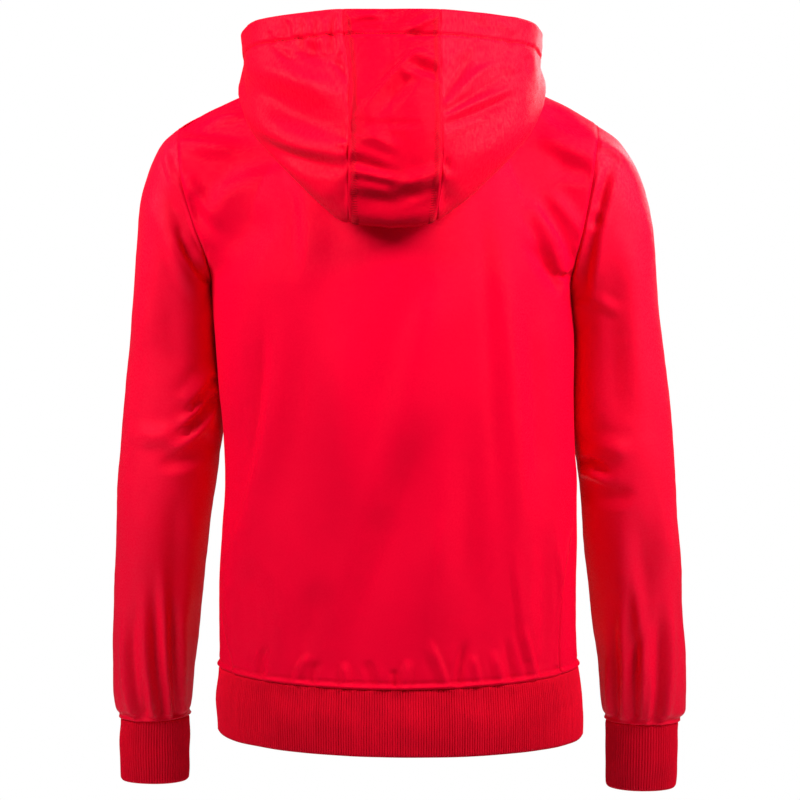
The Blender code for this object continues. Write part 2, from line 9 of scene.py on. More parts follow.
import bpy
import numpy as np
from bpy.props import FloatProperty, FloatVectorProperty, IntProperty, PointerProperty
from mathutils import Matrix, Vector


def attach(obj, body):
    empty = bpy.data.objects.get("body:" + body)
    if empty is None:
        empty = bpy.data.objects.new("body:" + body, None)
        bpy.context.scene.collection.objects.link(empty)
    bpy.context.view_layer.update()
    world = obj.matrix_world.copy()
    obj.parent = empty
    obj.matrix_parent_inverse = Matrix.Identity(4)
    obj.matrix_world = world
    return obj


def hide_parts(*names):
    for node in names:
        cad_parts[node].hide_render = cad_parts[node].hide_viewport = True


bl_info = {
    "name": "Hooded pullover",
    "version": (1, 0, 0),
    "blender": (4, 5, 0),
    "location": "View3D > Sidebar > Pullover",
    "description": "Makes a hooded pullover's cloth, ribs and sewing",
    "category": "Add Mesh",
}

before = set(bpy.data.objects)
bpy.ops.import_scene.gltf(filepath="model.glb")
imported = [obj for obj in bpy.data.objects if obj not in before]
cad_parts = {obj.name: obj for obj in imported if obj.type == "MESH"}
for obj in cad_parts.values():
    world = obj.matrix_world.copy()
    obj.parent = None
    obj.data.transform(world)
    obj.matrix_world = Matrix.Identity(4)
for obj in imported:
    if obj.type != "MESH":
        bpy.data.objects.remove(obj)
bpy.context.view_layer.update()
MM = 0.001

# ---------------------------------------------------------------- shape tables
NECK_HALF_WIDTH = 78.0
NECK_BACK = 66.0
NECK_FRONT = 95.0
BACK_DROP = 18.0
FRONT_DROP = 75.0
LEFT_PANEL_ANGLE = 28.5
RIGHT_PANEL_ANGLE = 33.5
FRONT_END_ANGLE = 176.0
SHOULDER_CROWN = 6.5
HOOD_LEAN = 4.5
# Where the hood's panel seams run off their even course: seam x, slide at the low end and at the rim.
HOOD_SEAM_SLIDES = ((46, 0.0, 7.0), (-44, 5.0, 0.0))
# Columns of a body half, counted in equal steps: shoulder, neck side, neck middle.
BACK_COLUMNS = (4, 10, 13)
FRONT_COLUMNS = (4, 10, 11)
SLEEVE_RINGS = 21.0

# Rows and columns of the cloth grids. A body panel has its columns in each step of its column
# counts, and the hood has its rows in each of its four stages.
BACK_GRID = (236, 7)
FRONT_GRID = (150, 6)
SLEEVE_GRID = (280, 132)
SLEEVE_INNER_ROWS = 4
HOOD_ROWS = (8, 26, 36, 90)
HOOD_SIDE_COLUMNS = 128
HOOD_CENTRE_COLUMNS = 56
BAND_ROWS = 14
CUFF_ROWS = 22
COLUMNS_PER_RIB = 6

# Slow unevenness of each cloth: seed, length and height of its waves.
RIPPLES = {
    "back": ((3, 90.0, 0.30), (5, 17.0, 0.06)),
    "front": ((4, 90.0, 0.30), (5, 17.0, 0.06)),
    "sleeve_left": ((7, 70.0, 0.40), (9, 16.0, 0.08)),
    "sleeve_right": ((5, 70.0, 0.40), (9, 16.0, 0.08)),
    "hood": ((12, 42.0, 0.60), (13, 12.0, 0.14)),
    "hem_band": ((31, 45.0, 0.55),),
    "cuff": ((34, 45.0, 0.55),),
}
# How often each grid is evened.
BODY_PASSES = 60
SLEEVE_PASSES = 50
HOOD_PASSES = 30
# The body's cloth is plain within this distance of the origin, under the hood, then its creases fade in.
PLAIN_UNDER_HOOD = 100.0
PLAIN_FADE = 60.0
# The hood's cloth is plain for this length from the neck seam, then its creases fade in.
HOOD_STAND_DEPTH = 60.0
HOOD_STAND_FADE = 50.0
# Creases on a sleeve's hidden side repeat those of its back, shifted and less deep.
HIDDEN_CREASE_SHIFT = (4.0, 0.0, 9.0)
HIDDEN_CREASE_SHARE = 0.85
# The underarm's swell lies nearer the middle than this x; its own middle and its reach are in y and z.
UNDERARM_SIDE = 208.0
UNDERARM_MIDDLE = (-8.0, -234.0)
UNDERARM_REACH = (20.0, 24.0)
RIB_UNEVENNESS = 0.18
RIB_EDGE_ROLL = 0.9

# Sewing: a stitch's middle lies this high on the cloth; a hem stitch fills this share of its pitch,
# and a cover stitch lies between the first and last of three lines beside the panel seam.
HEM_STITCH_LIFT = 0.25
HEM_STITCH_RADIUS = 0.42
HEM_STITCH_SHARE = 0.74
COVER_STITCH_LIFT = 0.08
COVER_STITCH_RADIUS = 0.40
COVER_STITCH_LENGTH = 7.6
COVER_STITCH_LINES = (1.6, 5.5, 9.4)

# Each jersey's share of the gloss, and its roughness. The hood's centre panel is less shiny than the panels
# beside it, and its darker colour among the colour settings is painted shade.
JERSEY_FINISH = {
    "body": (0.6, 0.40),
    "sleeve": (1.4, 0.40),
    "hood": (1.0, 0.38),
    "hood_centre": (0.6, 0.36),
}

# The stage, in metres.
NECK_TARGET = (0.0, 0.0, 0.02)
CHEST_TARGET = (0.0, 0.0, -0.25)
CAMERA_SIDE = -0.0035
CAMERA_HEIGHT = -0.13
AIM_HEIGHT = -0.334
SENSOR_WIDTH = 36.0
FLOOR_RINGS = (0.0005, 0.5, 1.0, 1.5, 2.0)
FLOOR_SIDES = 96
FLOOR_COLOUR = (0.85, 0.85, 0.85)
FLOOR_GLOW = 0.4

BODY = {
    "z": (-607, -590, -560, -520, -470, -420, -375, -315, -272, -240, -215),
    "left": (183, 182, 182, 182, 179, 176, 177, 182, 185, 187, 189),
    "right": (187, 185, 184, 184, 185, 185, 182, 181, 181, 179, 177),
    "left_seam_y": (52, 46, 28, 12, 6, 2, 0, 0, 0, 0, 0),
    "right_seam_y": (56, 56, 54, 50, 34, 14, 4, 0, 0, 0, 0),
}
CENTRE_BACK = {
    "v": (-1.0, -0.85, -0.6, -0.35, -0.1, 0.0, 0.25, 0.5, 0.75, 1.0),
    "y": (122, 120, 121, 124, 125, 124, 118, 107, 89, 66),
    "z": (-611, -555, -455, -352, -250, -209, -143, -92, -50, -18),
}
CENTRE_FRONT = {
    "v": (-1.0, -0.85, -0.6, -0.35, -0.1, 0.0, 0.25, 0.5, 0.75, 1.0),
    "y": (-120, -119, -121, -124, -125, -125, -121, -114, -105, -95),
    "z": (-607, -555, -455, -352, -250, -214, -172, -135, -104, -75),
}
ARMHOLE = {
    "step": (0.0, 0.12, 0.28, 0.47, 0.66, 0.84, 1.0),
    "back_y": (0, 15, 31, 43, 44, 31, 0),
    "front_y": (0, -15, -29, -40, -41, -29, 0),
    "left_x": (189, 189, 192, 204, 215, 220, 221),
    "left_z": (-215, -206, -188, -153, -112, -75, -57),
    "right_x": (177, 177, 180, 188, 196, 202, 204),
    "right_z": (-222, -213, -194, -157, -112, -72, -54),
}
# Ring 0 is the armhole's own oval; 21 is the cuff seam.
SLEEVE_LEFT = {
    "ring": (0, 1, 2, 3, 4, 5, 6, 7, 8.5, 10, 12, 14, 16, 17.5, 19, 20, 21),
    "outer_x": (221, 237, 252, 262, 266, 269, 272, 276, 282, 287, 292, 295, 299, 301, 302, 300, 294),
    "outer_z": (
        *(-57, -71, -101, -138, -175, -212, -248, -284, -338),
        *(-392, -450, -510, -570, -610, -646, -667, -680),
    ),
    "inner_x": (189, 191, 190, 188, 186, 184, 182, 180, 178, 184, 192, 200, 207, 212, 217, 220, 222),
    "inner_z": (
        *(-215, -222, -231, -242, -256, -272, -291, -312, -350),
        *(-394, -450, -508, -568, -608, -644, -665, -678),
    ),
    "mid_y": (0, -2, -7, -14, -21, -26, -29, -31, -32, -34, -40, -51, -64, -73, -81, -85, -87),
    "depth": (46, 49, 53, 55, 56, 56, 55, 54, 52, 50, 48, 46, 44, 43, 41, 37, 32),
}
SLEEVE_RIGHT = {
    "ring": (0, 1, 2, 3, 4, 5, 6, 7, 8.5, 10, 12, 14, 16, 17.5, 19, 20, 21),
    "outer_x": (204, 225, 245, 257, 263, 267, 271, 276, 283, 288, 292, 298, 302, 306, 308, 308, 300),
    "outer_z": (
        *(-54, -69, -100, -136, -173, -210, -247, -284, -338),
        *(-392, -450, -510, -570, -610, -648, -670, -684),
    ),
    "inner_x": (177, 180, 181, 180, 180, 179, 178, 178, 178, 186, 192, 198, 206, 212, 216, 219, 224),
    "inner_z": (
        *(-222, -230, -239, -249, -262, -277, -295, -315, -351),
        *(-394, -450, -508, -568, -608, -646, -668, -682),
    ),
    "mid_y": (0, -2, -7, -14, -21, -26, -29, -31, -32, -34, -40, -51, -64, -73, -81, -85, -87),
    "depth": (46, 49, 53, 55, 56, 56, 55, 54, 52, 50, 48, 46, 44, 43, 41, 37, 32),
}
CUFF_LEFT = {
    "ring": (0, 1, 2),
    "outer_x": (294, 297, 296),
    "outer_z": (-680, -716, -750),
    "inner_x": (222, 222, 224),
    "inner_z": (-678, -714, -750),
    "mid_y": (-87, -95, -102),
    "depth": (32, 31.5, 30),
}
CUFF_RIGHT = {
    "ring": (0, 1, 2),
    "outer_x": (300, 301, 299),
    "outer_z": (-684, -722, -758),
    "inner_x": (224, 224, 226),
    "inner_z": (-682, -722, -758),
    "mid_y": (-87, -95, -102),
    "depth": (32, 31.5, 30),
}
BAND = {
    "row": (0, 1, 2),
    "left_out": (-1.0, 2.5, 0.0),
    "left_down": (0, 35, 69),
    "right_out": (-1.0, 4.0, 4.5),
    "right_down": (0, 37, 73),
}
HOOD = {
    "angle": (0, 34, 50, 64, 80, 96, 114, 136, 158, 176),
    "way": (90, 87, 62, 36, 20, 3, -18, -42, -66, -84),
    "stand_out": (12, 12, 12, 11, 10, 9, 8, 7, 5, 4),
    "stand_up": (20, 20, 20, 20, 19, 18, 18, 14, 12, 10),
    "fold_out": (78, 84, 80, 80, 77, 70, 54, 36, 20, 12),
    "fold_z": (-157, -150, -105, -62, -27, -8, -12, -38, -60, -66),
    "bulge_out": (106, 112, 100, 88, 76, 69, 56, 39, 23, 15),
    "bulge_z": (-88, -84, -60, -32, 0, 10, 0, -24, -46, -57),
    "rim_out": (66, 74, 76, 78, 77, 70, 52, 34, 20, 12),
    "rim_z": (53, 53, 50, 46, 38, 29, 12, -12, -36, -50),
}

# Creases: start, middle and end (x and z), half width, height (a trough is
# negative), lean to one side, and how full each end is.
BACK_CREASES = (
    # shoulders and the pull from the armholes
    (214, -58, 183, -61, 146, -64, 8.0, -3.2, 0.2, 0.7, 0.4),
    (188, -50, 168, -47, 150, -45, 4.0, 2.4, 0.0, 0.3, 0.3),
    (214, -74, 186, -77, 154, -80, 7.0, 3.6, 0.0, 0.5, 0.1),
    (214, -93, 180, -98, 148, -102, 11.0, -2.8, 0.0, 0.5, 0.0),
    (186, -170, 158, -122, 96, -112, 15.0, 6.5, -0.3, 0.5, 0.3),
    (96, -114, 86, -150, 89, -230, 11.0, 4.5, 0.3, 0.6, 0.0),
    (180, -200, 150, -162, 108, -158, 22.0, -5.0, 0.2, 0.2, 0.0),
    (208, -112, 196, -130, 179, -152, 6.0, 3.0, 0.0, 0.8, 0.1),
    (205, -132, 193, -150, 172, -172, 7.0, -3.4, 0.0, 0.8, 0.1),
    (-138, -66, -164, -75, -196, -88, 9.0, 4.0, 0.1, 0.2, 0.6),
    (-148, -97, -172, -101, -195, -104, 9.0, -3.4, 0.1, 0.1, 0.8),
    (-150, -40, -166, -48, -188, -58, 7.0, -4.0, 0.0, 0.3, 0.5),
    (-122, -128, -146, -158, -164, -196, 8.5, 5.0, 0.3, 0.2, 0.6),
    (-126, -168, -146, -192, -160, -212, 8.0, -5.0, 0.0, 0.1, 0.6),
    (-136, -128, -158, -155, -176, -186, 5.0, -3.6, 0.0, 0.1, 0.7),
    (-144, -114, -166, -140, -184, -164, 6.0, 3.6, 0.2, 0.1, 0.6),
    (-156, -190, -166, -212, -171, -232, 5.0, 4.6, 0.3, 0.4, 0.1),
    (-160, -204, -168, -206, -176, -204, 3.0, -3.4, 0.0, 0.3, 0.7),
    # left half, long drags down to the hem
    (122, -218, 134, -372, 170, -492, 8.5, 4.2, 0.5, 0.0, 0.4),
    (132, -228, 141, -340, 162, -446, 13.0, -6.0, -0.3, 0.0, 0.3),
    (104, -200, 108, -340, 120, -480, 27.0, -5.0, 0.0, 0.0, 0.0),
    (170, -300, 168, -400, 173, -480, 12.0, -3.0, 0.0, 0.0, 0.0),
    (150, -480, 145, -530, 138, -592, 16.0, -3.6, 0.0, 0.0, 0.3),
    (172, -500, 170, -540, 166, -598, 7.0, 2.6, 0.0, 0.0, 0.4),
    # middle, long soft slanting bands
    (-58, -178, -20, -290, 8, -425, 20.0, 5.0, 0.2, 0.0, 0.2),
    (-34, -330, 4, -448, 52, -588, 20.0, -6.5, 0.2, 0.0, 0.3),
    (-76, -330, -72, -445, -80, -570, 15.0, -4.6, 0.0, 0.0, 0.1),
    (-46, -420, -38, -500, -30, -596, 13.0, 3.4, 0.0, 0.0, 0.3),
    (70, -500, 86, -545, 100, -600, 14.0, -3.4, 0.0, 0.0, 0.3),
    (60, -240, 52, -360, 40, -470, 24.0, 2.8, 0.0, 0.0, 0.0),
    # right half
    (-98, -116, -112, -300, -124, -540, 14.0, 6.5, 0.35, 0.1, 0.2),
    (-116, -470, -122, -530, -131, -584, 5.0, 3.0, 0.5, 0.1, 0.4),
    (-124, -200, -136, -330, -143, -470, 12.0, -5.0, 0.0, 0.0, 0.1),
    (-162, -462, -168, -530, -164, -596, 4.6, 3.8, 0.3, 0.0, 0.6),
    (-148, -440, -149, -520, -148, -592, 9.0, -4.2, 0.0, 0.0, 0.4),
    (-172, -400, -174, -500, -172, -590, 7.0, -2.6, 0.0, 0.0, 0.3),
    # puckers above the hem seam
    (100, -606, 94, -590, 84, -576, 3.5, 3.2, 0.0, 0.9, 0.0),
    (84, -606, 82, -594, 76, -582, 4.0, -2.8, 0.0, 0.9, 0.0),
    (52, -608, 51, -596, 52, -582, 4.0, 3.2, 0.0, 0.9, 0.0),
    (-8, -608, -10, -595, -12, -578, 4.5, 3.0, 0.0, 0.9, 0.0),
    (2, -608, 2, -598, 4, -588, 3.5, -2.6, 0.0, 0.9, 0.0),
    (-49, -606, -42, -585, -30, -558, 4.0, 3.6, 0.3, 0.9, 0.0),
    (-62, -606, -64, -588, -70, -558, 5.0, -3.6, 0.0, 0.9, 0.0),
    (-82, -606, -78, -590, -76, -576, 3.5, 2.6, 0.0, 0.9, 0.0),
    (-103, -605, -100, -592, -95, -572, 4.0, 3.2, 0.0, 0.9, 0.0),
    (-116, -604, -112, -585, -108, -554, 5.0, -3.2, 0.0, 0.9, 0.0),
    (-138, -603, -130, -575, -121, -545, 4.0, 3.6, 0.0, 0.9, 0.0),
    (24, -608, 26, -594, 30, -580, 5.0, -2.4, 0.0, 0.9, 0.0),
    (136, -604, 134, -588, 130, -572, 4.5, -2.6, 0.0, 0.9, 0.0),
)
FRONT_CREASES = (
    (-204, -61, -170, -60, -138, -66, 5.0, -3.5, 0.0, 0.8, 0.2),
    (204, -58, 172, -58, 142, -62, 5.0, -3.5, 0.0, 0.8, 0.2),
    (194, -174, 160, -140, 112, -128, 15.0, 4.8, 0.2, 0.5, 0.2),
    (180, -196, 150, -170, 118, -168, 18.0, -4.8, 0.0, 0.3, 0.1),
    (-184, -170, -150, -140, -104, -126, 14.0, 4.8, -0.2, 0.5, 0.2),
    (-172, -200, -140, -176, -108, -170, 17.0, -4.8, 0.0, 0.3, 0.1),
    (206, -110, 190, -124, 166, -136, 6.0, 2.9, 0.0, 0.8, 0.1),
    (-192, -112, -176, -126, -154, -138, 6.0, 2.9, 0.0, 0.8, 0.1),
    (104, -190, 112, -320, 132, -470, 12.0, 4.2, 0.4, 0.0, 0.3),
    (128, -230, 136, -340, 150, -450, 13.0, -4.2, 0.0, 0.0, 0.2),
    (46, -170, 36, -320, 22, -480, 15.0, 3.5, -0.3, 0.0, 0.4),
    (18, -250, 12, -400, -8, -570, 17.0, -4.2, 0.0, 0.0, 0.3),
    (-60, -200, -52, -350, -36, -520, 14.0, 3.5, 0.2, 0.0, 0.3),
    (-96, -210, -92, -360, -112, -540, 12.0, 4.2, 0.3, 0.0, 0.5),
    (-120, -230, -128, -340, -140, -460, 14.0, -3.8, 0.0, 0.0, 0.2),
    (-150, -440, -154, -520, -156, -590, 6.0, 3.2, 0.2, 0.0, 0.5),
    (152, -470, 158, -530, 160, -592, 7.0, 2.9, 0.0, 0.0, 0.5),
    (72, -470, 84, -540, 92, -600, 13.0, -2.9, 0.0, 0.0, 0.3),
    (60, -604, 62, -588, 66, -570, 4.0, 3.2, 0.0, 0.9, 0.0),
    (22, -605, 20, -590, 14, -574, 4.0, 2.9, 0.0, 0.9, 0.0),
    (-22, -605, -24, -590, -30, -566, 4.5, 3.2, 0.0, 0.9, 0.0),
    (-70, -604, -66, -588, -60, -572, 4.0, 2.9, 0.0, 0.9, 0.0),
    (108, -603, 104, -588, 98, -564, 4.5, 3.2, 0.0, 0.9, 0.0),
    (-118, -602, -112, -584, -108, -560, 4.0, 2.9, 0.0, 0.9, 0.0),
    # soft drape under the neck
    (58, -66, 30, -104, 0, -118, 9.0, -2.9, 0.0, 0.2, 0.8),
    (-58, -66, -30, -104, 0, -118, 9.0, -2.9, 0.0, 0.2, 0.8),
)
SLEEVE_LEFT_CREASES = (
    (232, -80, 229, -95, 224, -114, 4.0, 3.0, 0.2, 0.3, 0.2),
    (240, -112, 220, -145, 204, -176, 11.0, -6.0, 0.0, 0.2, 0.5),
    (218, -164, 206, -188, 192, -210, 4.0, -4.6, 0.2, 0.3, 0.7),
    (230, -160, 220, -192, 204, -220, 7.0, 4.0, 0.0, 0.1, 0.5),
    (250, -150, 257, -231, 258, -312, 15.0, 4.5, 0.0, 0.0, 0.0),
    (228, -210, 226, -268, 220, -320, 14.0, -2.6, 0.0, 0.0, 0.0),
    (222, -340, 206, -326, 190, -306, 5.5, 4.0, 0.3, 0.1, 0.4),
    (226, -362, 206, -345, 188, -324, 4.5, 4.4, 0.3, 0.1, 0.5),
    (220, -352, 202, -336, 187, -315, 4.0, -4.2, 0.0, 0.1, 0.5),
    (224, -374, 204, -357, 188, -335, 4.6, -5.6, 0.2, 0.1, 0.9),
    (234, -384, 212, -374, 190, -352, 6.0, 3.4, 0.2, 0.0, 0.7),
    (246, -392, 222, -396, 194, -380, 8.0, -4.4, 0.1, 0.0, 0.8),
    (270, -368, 244, -370, 220, -362, 9.0, 3.2, 0.0, 0.2, 0.1),
    (262, -430, 262, -480, 264, -540, 12.0, 3.0, 0.0, 0.0, 0.2),
    (226, -420, 228, -480, 230, -550, 10.0, -3.2, 0.0, 0.0, 0.2),
    (262, -520, 262, -600, 256, -668, 5.5, 4.2, 0.2, 0.0, 0.9),
    (243, -480, 240, -590, 240, -668, 5.0, 4.0, 0.2, 0.0, 0.9),
    (224, -520, 226, -600, 227, -668, 4.5, 3.6, 0.0, 0.0, 0.9),
    (274, -540, 276, -610, 268, -670, 5.5, -4.2, 0.0, 0.0, 0.9),
    (252, -500, 252, -600, 248, -669, 4.6, -4.4, 0.0, 0.0, 0.9),
    (232, -520, 234, -600, 233, -668, 4.4, -4.0, 0.0, 0.0, 0.9),
    (216, -500, 220, -580, 226, -650, 4.6, 2.6, 0.0, 0.0, 0.3),
    (284, -560, 286, -620, 280, -666, 5.0, 3.4, 0.0, 0.0, 0.9),
    (264, -620, 264, -645, 263, -668, 3.2, -2.6, 0.0, 0.0, 0.9),
    (243, -622, 244, -645, 244, -668, 3.0, -2.6, 0.0, 0.0, 0.9),
)
SLEEVE_RIGHT_CREASES = (
    (-206, -76, -222, -85, -237, -101, 4.0, 3.6, 0.3, 0.6, 0.2),
    (-215, -98, -207, -120, -199, -152, 5.5, -5.0, 0.0, 0.4, 0.6),
    (-199, -150, -192, -190, -188, -228, 5.5, -4.4, 0.0, 0.6, 0.4),
    (-252, -120, -254, -180, -252, -250, 15.0, 4.0, 0.0, 0.0, 0.0),
    (-230, -150, -238, -231, -248, -352, 12.0, 4.2, 0.0, 0.0, 0.0),
    (-218, -231, -222, -312, -229, -372, 14.0, -3.2, 0.0, 0.0, 0.0),
    (-200, -228, -212, -236, -232, -246, 6.0, 2.0, 0.0, 0.4, 0.0),
    (-196, -398, -205, -401, -215, -412, 4.2, -5.6, 0.0, 0.9, 0.1),
    (-194, -410, -206, -413, -222, -420, 5.0, 4.6, 0.2, 0.8, 0.0),
    (-200, -428, -222, -432, -246, -424, 9.0, -4.2, 0.0, 0.5, 0.0),
    (-196, -382, -218, -382, -244, -390, 9.0, 3.6, 0.0, 0.5, 0.0),
    (-274, -420, -278, -470, -282, -520, 8.0, 3.0, 0.0, 0.0, 0.0),
    (-226, -450, -232, -510, -240, -560, 12.0, 3.0, 0.0, 0.0, 0.1),
    (-250, -440, -256, -500, -262, -560, 11.0, -3.6, 0.0, 0.0, 0.1),
    (-244, -500, -256, -600, -262, -672, 5.2, 4.4, 0.2, 0.0, 0.9),
    (-232, -520, -236, -600, -240, -672, 4.8, 3.8, 0.0, 0.0, 0.9),
    (-280, -520, -287, -600, -284, -668, 5.6, 4.2, 0.0, 0.0, 0.9),
    (-256, -560, -248, -620, -250, -672, 4.2, -4.6, 0.0, 0.0, 0.9),
    (-270, -540, -274, -610, -272, -674, 5.6, -4.4, 0.0, 0.0, 0.9),
    (-226, -560, -230, -620, -232, -671, 4.4, -3.8, 0.0, 0.0, 0.9),
    (-222, -600, -223, -640, -226, -671, 3.4, 3.0, 0.0, 0.0, 0.9),
    (-262, -622, -262, -648, -261, -674, 3.0, -2.6, 0.0, 0.0, 0.9),
    (-240, -630, -241, -650, -241, -672, 3.0, -2.4, 0.0, 0.0, 0.9),
)
# The hood: drags on the side panels, small folds on the middle one.
HOOD_CREASES = (
    # left panel: a wide trough between two full drags
    (144, -22, 100, -45, 50, -64, 13.0, -8.0, 0.2, 0.4, 0.4),
    (146, 2, 100, -13, 50, -30, 13.0, 4.4, 0.2, 0.3, 0.3),
    (139, -48, 107, -73, 50, -86, 9.0, 6.0, 0.2, 0.3, 0.4),
    (122, -72, 92, -91, 50, -98, 6.5, -3.2, 0.0, 0.2, 0.5),
    (107, -92, 76, -116, 50, -132, 10.0, 3.4, 0.2, 0.2, 0.3),
    (90, 20, 83, 14, 74, 8, 6.5, -4.6, 0.0, 0.4, 0.3),
    (123, 30, 121, 24, 118, 14, 3.0, -2.6, 0.0, 0.4, 0.1),
    (115, 20, 108, 10, 98, 3, 3.4, -3.0, 0.0, 0.4, 0.1),
    (54, -74, 50, -77, 47, -78, 3.0, 3.0, 0.0, 0.2, 0.5),
    (62, 4, 54, -2, 47, -14, 3.6, -2.6, 0.0, 0.1, 0.6),
    # centre panel: one slanting fold, then creases that deepen to its turned under end
    (-28, 10, -6, -2, 36, -50, 4.6, 4.6, 0.55, 0.2, 0.4),
    (-12, -9, -4, -22, 18, -44, 7.0, -4.6, 0.0, 0.2, 0.2),
    (-15, 0, -25, -3, -38, -8, 5.6, -6.4, 0.0, 0.5, 0.6),
    (34, -56, 2, -58, -34, -57, 3.6, -1.0, 0.0, 0.3, 0.2),
    (36, -66, 16, -74, -6, -84, 6.0, 2.4, 0.0, 0.3, 0.1),
    (43, -93, 24, -98, -2, -109, 5.4, -3.8, 0.1, 0.6, 0.1),
    (39, -103, 18, -107, -10, -114, 3.6, 2.8, 0.2, 0.6, 0.2),
    (-2, -128, -23, -124, -40, -116, 5.4, -3.2, 0.1, 0.1, 0.6),
    (6, -116, -16, -112, -38, -104, 6.0, 2.8, 0.0, 0.1, 0.5),
    (40, -118, 18, -121, -4, -127, 5.0, 2.8, 0.0, 0.5, 0.1),
    (44, -128, 1, -131, -42, -127, 12.0, -5.0, 0.0, 0.7, 0.7),
    # right panel: thin pulls that meet at the seam, a full smooth drag below them
    (-77, 14, -62, -5, -50, -28, 7.0, -5.0, 0.0, 0.2, 0.4),
    (-99, 3, -75, -12, -48, -38, 4.6, 3.0, 0.2, 0.1, 0.6),
    (-109, -8, -80, -26, -48, -46, 3.6, -1.8, 0.0, 0.1, 0.7),
    (-116, -19, -89, -33, -48, -50, 4.0, 2.0, 0.0, 0.1, 0.6),
    (-120, -28, -89, -42, -47, -60, 5.0, -2.2, 0.0, 0.1, 0.6),
    (-128, -38, -100, -70, -54, -108, 16.0, 5.0, 0.2, 0.2, 0.2),
    (-46, -88, -48, -96, -50, -104, 3.6, -4.0, 0.0, 0.3, 0.3),
    (-126, 12, -129, 4, -128, -10, 4.0, -3.0, 0.0, 0.2, 0.2),
    (-114, 14, -110, 0, -104, -10, 7.0, 2.6, 0.0, 0.1, 0.0),
)
# The turned hem of the hood: small pulls across it.
HOOD_HEM_CREASES = (
    (124, 40, 118, 32, 116, 22, 3.0, 2.2, 0.0, 0.2, 0.6),
    (112, 46, 106, 36, 108, 22, 3.0, -2.2, 0.0, 0.2, 0.8),
    (101, 46, 97, 36, 99, 16, 2.6, 2.2, 0.0, 0.2, 0.8),
    (94, 44, 91, 34, 93, 14, 2.4, -2.4, 0.0, 0.2, 0.8),
    (87, 44, 84, 34, 85, 14, 2.4, 2.4, 0.0, 0.2, 0.8),
    (79, 46, 77, 34, 78, 12, 2.4, -2.4, 0.0, 0.2, 0.8),
    (71, 44, 69, 34, 70, 12, 2.6, 2.3, 0.0, 0.2, 0.8),
    (62, 46, 61, 34, 62, 12, 2.6, -2.4, 0.0, 0.2, 0.8),
    (54, 46, 54, 34, 54, 12, 2.6, 2.2, 0.0, 0.2, 0.8),
    (47, 41, 25, 46, 0, 43, 3.4, 2.6, 0.2, 0.4, 0.2),
    (40, 29, 24, 33, 10, 30, 4.0, -2.0, 0.2, 0.3, 0.2),
    (-4, 26, -22, 37, -40, 45, 3.6, 3.0, 0.2, 0.2, 0.4),
    (2, 32, -22, 28, -40, 30, 3.6, -1.8, 0.0, 0.2, 0.4),
    (20, 52, 10, 46, -2, 50, 4.0, -2.0, 0.0, 0.3, 0.3),
    (-58, 48, -64, 38, -62, 24, 4.0, 2.0, 0.0, 0.3, 0.4),
    (-76, 46, -82, 38, -90, 30, 4.0, -2.2, 0.0, 0.2, 0.2),
    (-96, 46, -104, 38, -112, 34, 4.0, 2.0, 0.0, 0.2, 0.2),
    (-118, 34, -112, 26, -110, 16, 3.5, -2.2, 0.0, 0.2, 0.5),
)


# ---------------------------------------------------------------- curves
def smooth(table, key, column, at):
    """One column of a table as a smooth curve: cubic pieces whose slopes never overshoot a row."""
    x = np.asarray(table[key], float)
    y = np.asarray(table[column], float)
    at = np.asarray(at, float)
    rise = np.diff(y) / np.diff(x)
    even = np.where(rise[1:] * rise[:-1] > 0, rise[1:] * rise[:-1], 0)
    slope = 2 * even / np.where(even > 0, rise[1:] + rise[:-1], 1)
    slope = np.concatenate([rise[:1], slope, rise[-1:]])
    i = np.clip(np.searchsorted(x, at) - 1, 0, len(x) - 2)
    step = x[i + 1] - x[i]
    t = np.clip((at - x[i]) / step, 0, 1)
    start = (1 + 2 * t) * (1 - t) ** 2 * y[i] + t * (1 - t) ** 2 * step * slope[i]
    end = t * t * (3 - 2 * t) * y[i + 1] + t * t * (t - 1) * step * slope[i + 1]
    return start + end


def bezier(a, b, c, d, t):
    """The cubic curve from a to d, pulled towards b and c, at t."""
    t = np.asarray(t)[..., None]
    return (1 - t) ** 3 * a + 3 * (1 - t) ** 2 * t * b + 3 * (1 - t) * t * t * c + t**3 * d


def hermite(a, way_a, b, way_b, t):
    """The cubic curve that leaves a along way_a and reaches b along way_b."""
    return bezier(a, a + way_a / 3, b - way_b / 3, b, t)


def unit(vectors):
    """Each vector divided by its length."""
    length = np.linalg.norm(vectors, axis=-1, keepdims=True)
    return vectors / np.maximum(length, 1e-9)


def ease(t):
    """0 to 1 with level ends: three squares less two cubes."""
    t = np.clip(t, 0, 1)
    return t * t * (3 - 2 * t)


def bell(distance, width):
    """1 at no distance, falling as e to minus the square of distance over width."""
    return np.exp(-((distance / width) ** 2))


def crowded(count, crowd):
    """count + 1 steps from 0 to 1, closer at both ends: t less a share of its own sine."""
    t = np.linspace(0, 1, count + 1)
    return t - crowd * np.sin(2 * np.pi * t) / (2 * np.pi)


# ---------------------------------------------------------------- main forms
def neck_point(angle):
    """The neck seam, a half oval each way, by its angle from centre back; left side."""
    turn = np.radians(np.asarray(angle, float))
    back = np.cos(turn) > 0
    lean = np.abs(np.cos(turn))
    x = NECK_HALF_WIDTH * np.sin(turn)
    y = np.where(back, NECK_BACK, NECK_FRONT) * np.cos(turn)
    z = -np.where(back, BACK_DROP * lean**1.5, FRONT_DROP * lean**1.5)
    return np.stack([x, y, z], axis=-1)


def armhole_point(hand, face, step):
    """The armhole seam from underarm (0) to shoulder point (1), from its table."""
    side = "left" if hand > 0 else "right"
    y = smooth(ARMHOLE, "step", face + "_y", step)
    x = hand * smooth(ARMHOLE, "step", side + "_x", step)
    z = smooth(ARMHOLE, "step", side + "_z", step)
    return np.stack([x, y, z], axis=-1)


